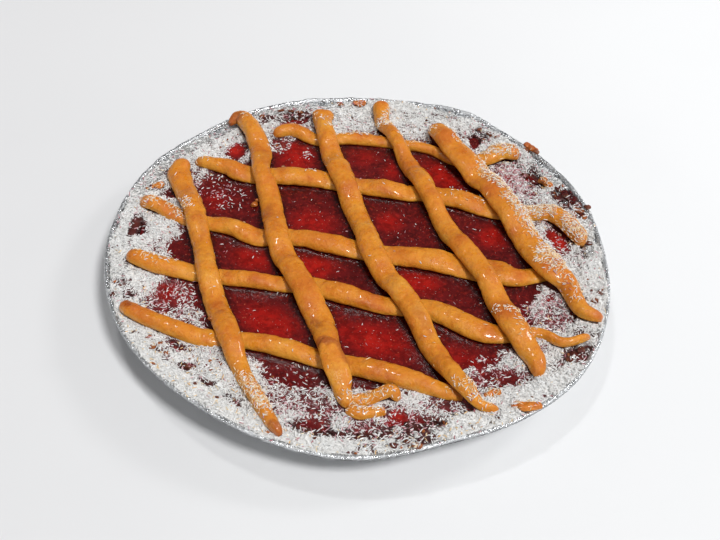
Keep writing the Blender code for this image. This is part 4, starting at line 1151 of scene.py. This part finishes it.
def build_coconut(trees):
    """Draws places over the crostata, keeps each by the share covered there, and lays a sliver on what is under it."""
    draw = np.random.default_rng(20)
    tries = SLIVER_TRIES
    radius = 139.2 * np.sqrt(draw.random(tries))
    angle = draw.uniform(-180, 180, tries)
    xy = bent(radius, np.full(tries, RIM_HEIGHT), angle)[:, :2]
    x, y = xy.T
    on_rope = edge_distance(x, y, PASTRY_LINES) < 0.3
    cover = coconut_cover(x, y)
    clump = 0.75 + 0.5 * noise(x, y, 0.0, 3.5, 111)
    rope_cover = patch_share(x, y, ROPE_COCONUT, np.full(tries, 0.004))
    chance = np.where(on_rope, rope_cover ** 1.2, cover ** 1.6 * 0.60 + 0.003 * (cover < 0.2)) * clump
    keep = draw.random(tries) < chance
    xy, cover, on_rope = xy[keep], cover[keep], on_rope[keep]
    z, normal, which = cast_down(trees, xy)
    xy, cover, on_rope, z, normal = (values[which >= 0] for values in (xy, cover, on_rope, z, normal))
    n = len(xy)
    places = np.column_stack([xy, z])
    heap = smoothstep((cover - 0.4) / 0.5) * ~on_rope
    lift = 0.18 + draw.random(n) ** 2 * (0.35 + 0.9 * heap)
    tilt = draw.normal(0, 0.10 + 0.16 * heap)
    sparse = (cover < 0.25) & ~on_rope
    length = np.clip(draw.normal(2.35, 0.7, n), 1.1, 4.2) * np.where(sparse, 0.72, 1.0)
    length = length * np.where(on_rope, 0.84, 1.0)
    width = np.clip(draw.normal(0.54, 0.11, n), 0.34, 0.8) * np.where(sparse, 0.85, 1.0) * np.where(on_rope, 0.86, 1.0)
    turn = draw.uniform(0, 2 * np.pi, n)
    curl = np.stack([draw.normal(0, 0.42, n), draw.uniform(0.1, 0.8, n)], -1)
    radius, degrees = flat_radius(xy[:, 0], xy[:, 1])
    white = mix_colours(linear(246, 246, 245), linear(220, 219, 217), draw.random(n) ** 1.5)
    soaked = patch_share(xy[:, 0], xy[:, 1], STAINED_PATCHES, np.full(n, 0.02))
    wet = draw.random(n) < np.where(on_rope, 0.03, soaked + 0.18 * (1 - heap) + 0.2 * sparse)
    stained = mix_colours(linear(222, 184, 190), linear(176, 96, 108), draw.random(n) ** 1.3)
    low_left = np.exp(-(direction_gap(degrees, -128) / 26.0) ** 2) * smoothstep((radius - 108) / 14)
    bottom = np.exp(-(direction_gap(degrees, -75) / 26.0) ** 2) * smoothstep((radius - 122) / 6)
    toasted = draw.random(n) < 0.62 * on_rope + 0.07 * low_left + 0.08 * bottom + 0.01
    toast = mix_colours(linear(242, 220, 182), linear(226, 176, 112), draw.random(n) ** 1.3)
    shades = np.where(wet[:, None], stained, white)
    shades = np.where((toasted & ~wet)[:, None], toast, shades)
    slivers = (places, normal, turn, length, width, lift, tilt, curl, shades)
    groups = (("coconut_shreds", ~wet & ~toasted), ("coconut_stained", wet), ("coconut_toasted", toasted & ~wet))
    for name, pick in groups:
        parts = np.array_split(np.nonzero(pick)[0], 1 + int(pick.sum()) // SLIVERS_PER_PIECE)
        for number, chosen in enumerate(parts, 1):
            build_shreds(f"{name}_{number}", *(values[chosen] for values in slivers))


# Camera, lights and floor, in metres

LIGHT_TARGET = Vector((0, 0, 0.02))
FLOOR_HALF = 1.6


def add_camera():
    """The photograph's view, fitted to the rim: 45 degrees down, from the front, with a slight roll."""
    elevation, distance, roll = math.radians(45.38), 0.5458, math.radians(3.12)
    target = Vector((0.0008, -0.0191, 0.024))
    back = Vector((0, -math.cos(elevation), math.sin(elevation)))
    right = Vector((1, 0, 0))
    up = right.cross(-back)
    c, s = math.cos(roll), math.sin(roll)
    lens = bpy.data.cameras.new("camera")
    lens.lens = 50
    lens.sensor_width = 36
    lens.clip_start = 0.01
    camera = bpy.data.objects.new("camera", lens)
    place = Matrix((c * right + s * up, -s * right + c * up, back)).transposed().to_4x4()
    place.translation = target + back * distance
    camera.matrix_world = place
    bpy.context.scene.collection.objects.link(camera)
    bpy.context.scene.camera = camera


def add_light(name, kind, energy, place, size=None, angle=None):
    """A white light that looks at the middle of the crostata."""
    light = bpy.data.lights.new(name, kind)
    light.energy = energy
    if size:
        light.shape = "RECTANGLE"
        light.size, light.size_y = size
    if angle:
        light.angle = math.radians(angle)
    made = bpy.data.objects.new(name, light)
    made.location = place
    made.rotation_euler = (LIGHT_TARGET - Vector(place)).to_track_quat("-Z", "Y").to_euler()
    bpy.context.scene.collection.objects.link(made)


def add_world():
    """White all round, but for a dimmer place behind and above the crostata, which the wet jam and the foil mirror."""
    world = bpy.data.worlds.new("studio")
    bpy.context.scene.world = world
    world.use_nodes = True
    tree = world.node_tree
    place = tree.nodes.new("ShaderNodeTexCoord")
    facing = tree.nodes.new("ShaderNodeVectorMath")
    facing.operation = "DOT_PRODUCT"
    facing.inputs[1].default_value = (-0.10, 0.74, 0.66)
    ramp = tree.nodes.new("ShaderNodeValToRGB")
    tree.links.new(place.outputs["Generated"], facing.inputs[0])
    tree.links.new(facing.outputs["Value"], ramp.inputs[0])
    stops = ramp.color_ramp.elements
    stops[0].position, stops[0].color = 0.60, (1.0, 1.0, 1.0, 1)
    stops[1].position, stops[1].color = 0.93, (0.45, 0.45, 0.46, 1)
    tree.links.new(ramp.outputs[0], tree.nodes["Background"].inputs[0])
    tree.nodes["Background"].inputs[1].default_value = 0.31


def add_floor():
    size = FLOOR_HALF
    mesh = bpy.data.meshes.new("floor")
    mesh.from_pydata([(-size, -size, 0), (size, -size, 0), (size, size, 0), (-size, size, 0)], [], [(0, 1, 2, 3)])
    floor = bpy.data.objects.new("floor", mesh)
    bpy.context.scene.collection.objects.link(floor)
    f = Finish("floor", Roughness=0.75)
    # Painted light: the floor lighter towards +x, where more light falls
    across = f.node("ShaderNodeSeparateXYZ", {"Vector": f.place}).outputs["X"]
    shade = f.mix(f.span(across, -0.30, 0.30), linear(222, 222, 223), linear(240, 241, 242))
    shade = f.mix(f.span(f.noise(160.0, 2.0), 0.3, 0.7, 0.0, 0.4), shade, (0.96, 0.96, 0.965), "MULTIPLY")
    f.set(Base_Color=shade)
    mesh.materials.append(f.material)


PASTRY = pastry_finish("rolled_pastry")
tin = build_tin()
shell = build_shell()
jam = build_jam()
JAM = jam.data.materials[0]
strands = [build_rope(name, table, "cross") for name, table in CROSS_ROPES.items()]
strands += [build_rope(name, table, "over") for name, table in OVER_ROPES.items()]
strands += [build_chip(name, *sizes) for name, sizes in CHIPS.items()]
build_spill()
bed = build_bed()
ground = search_trees([jam, shell, tin, bed] + strands)
crumbs = build_crumbs(ground, "crumbs", CRUMBS, 31)
build_crumbs(ground, "specks", scattered_crumbs(SMALL_CRUMBS, 32), 33)
build_coconut(ground + search_trees([crumbs]))
add_camera()
add_world()
add_floor()
add_light("window", "SUN", 2.28, (0.40, -0.42, 1.0), angle=12.0)
add_light("right", "AREA", 6.0, (1.35, 0.6, 1.2), size=(0.35, 0.35))
add_light("glint", "AREA", 4.6, (-0.42, 0.38, 1.9), size=(0.17, 0.17))
bpy.context.scene.view_settings.view_transform = "Standard"
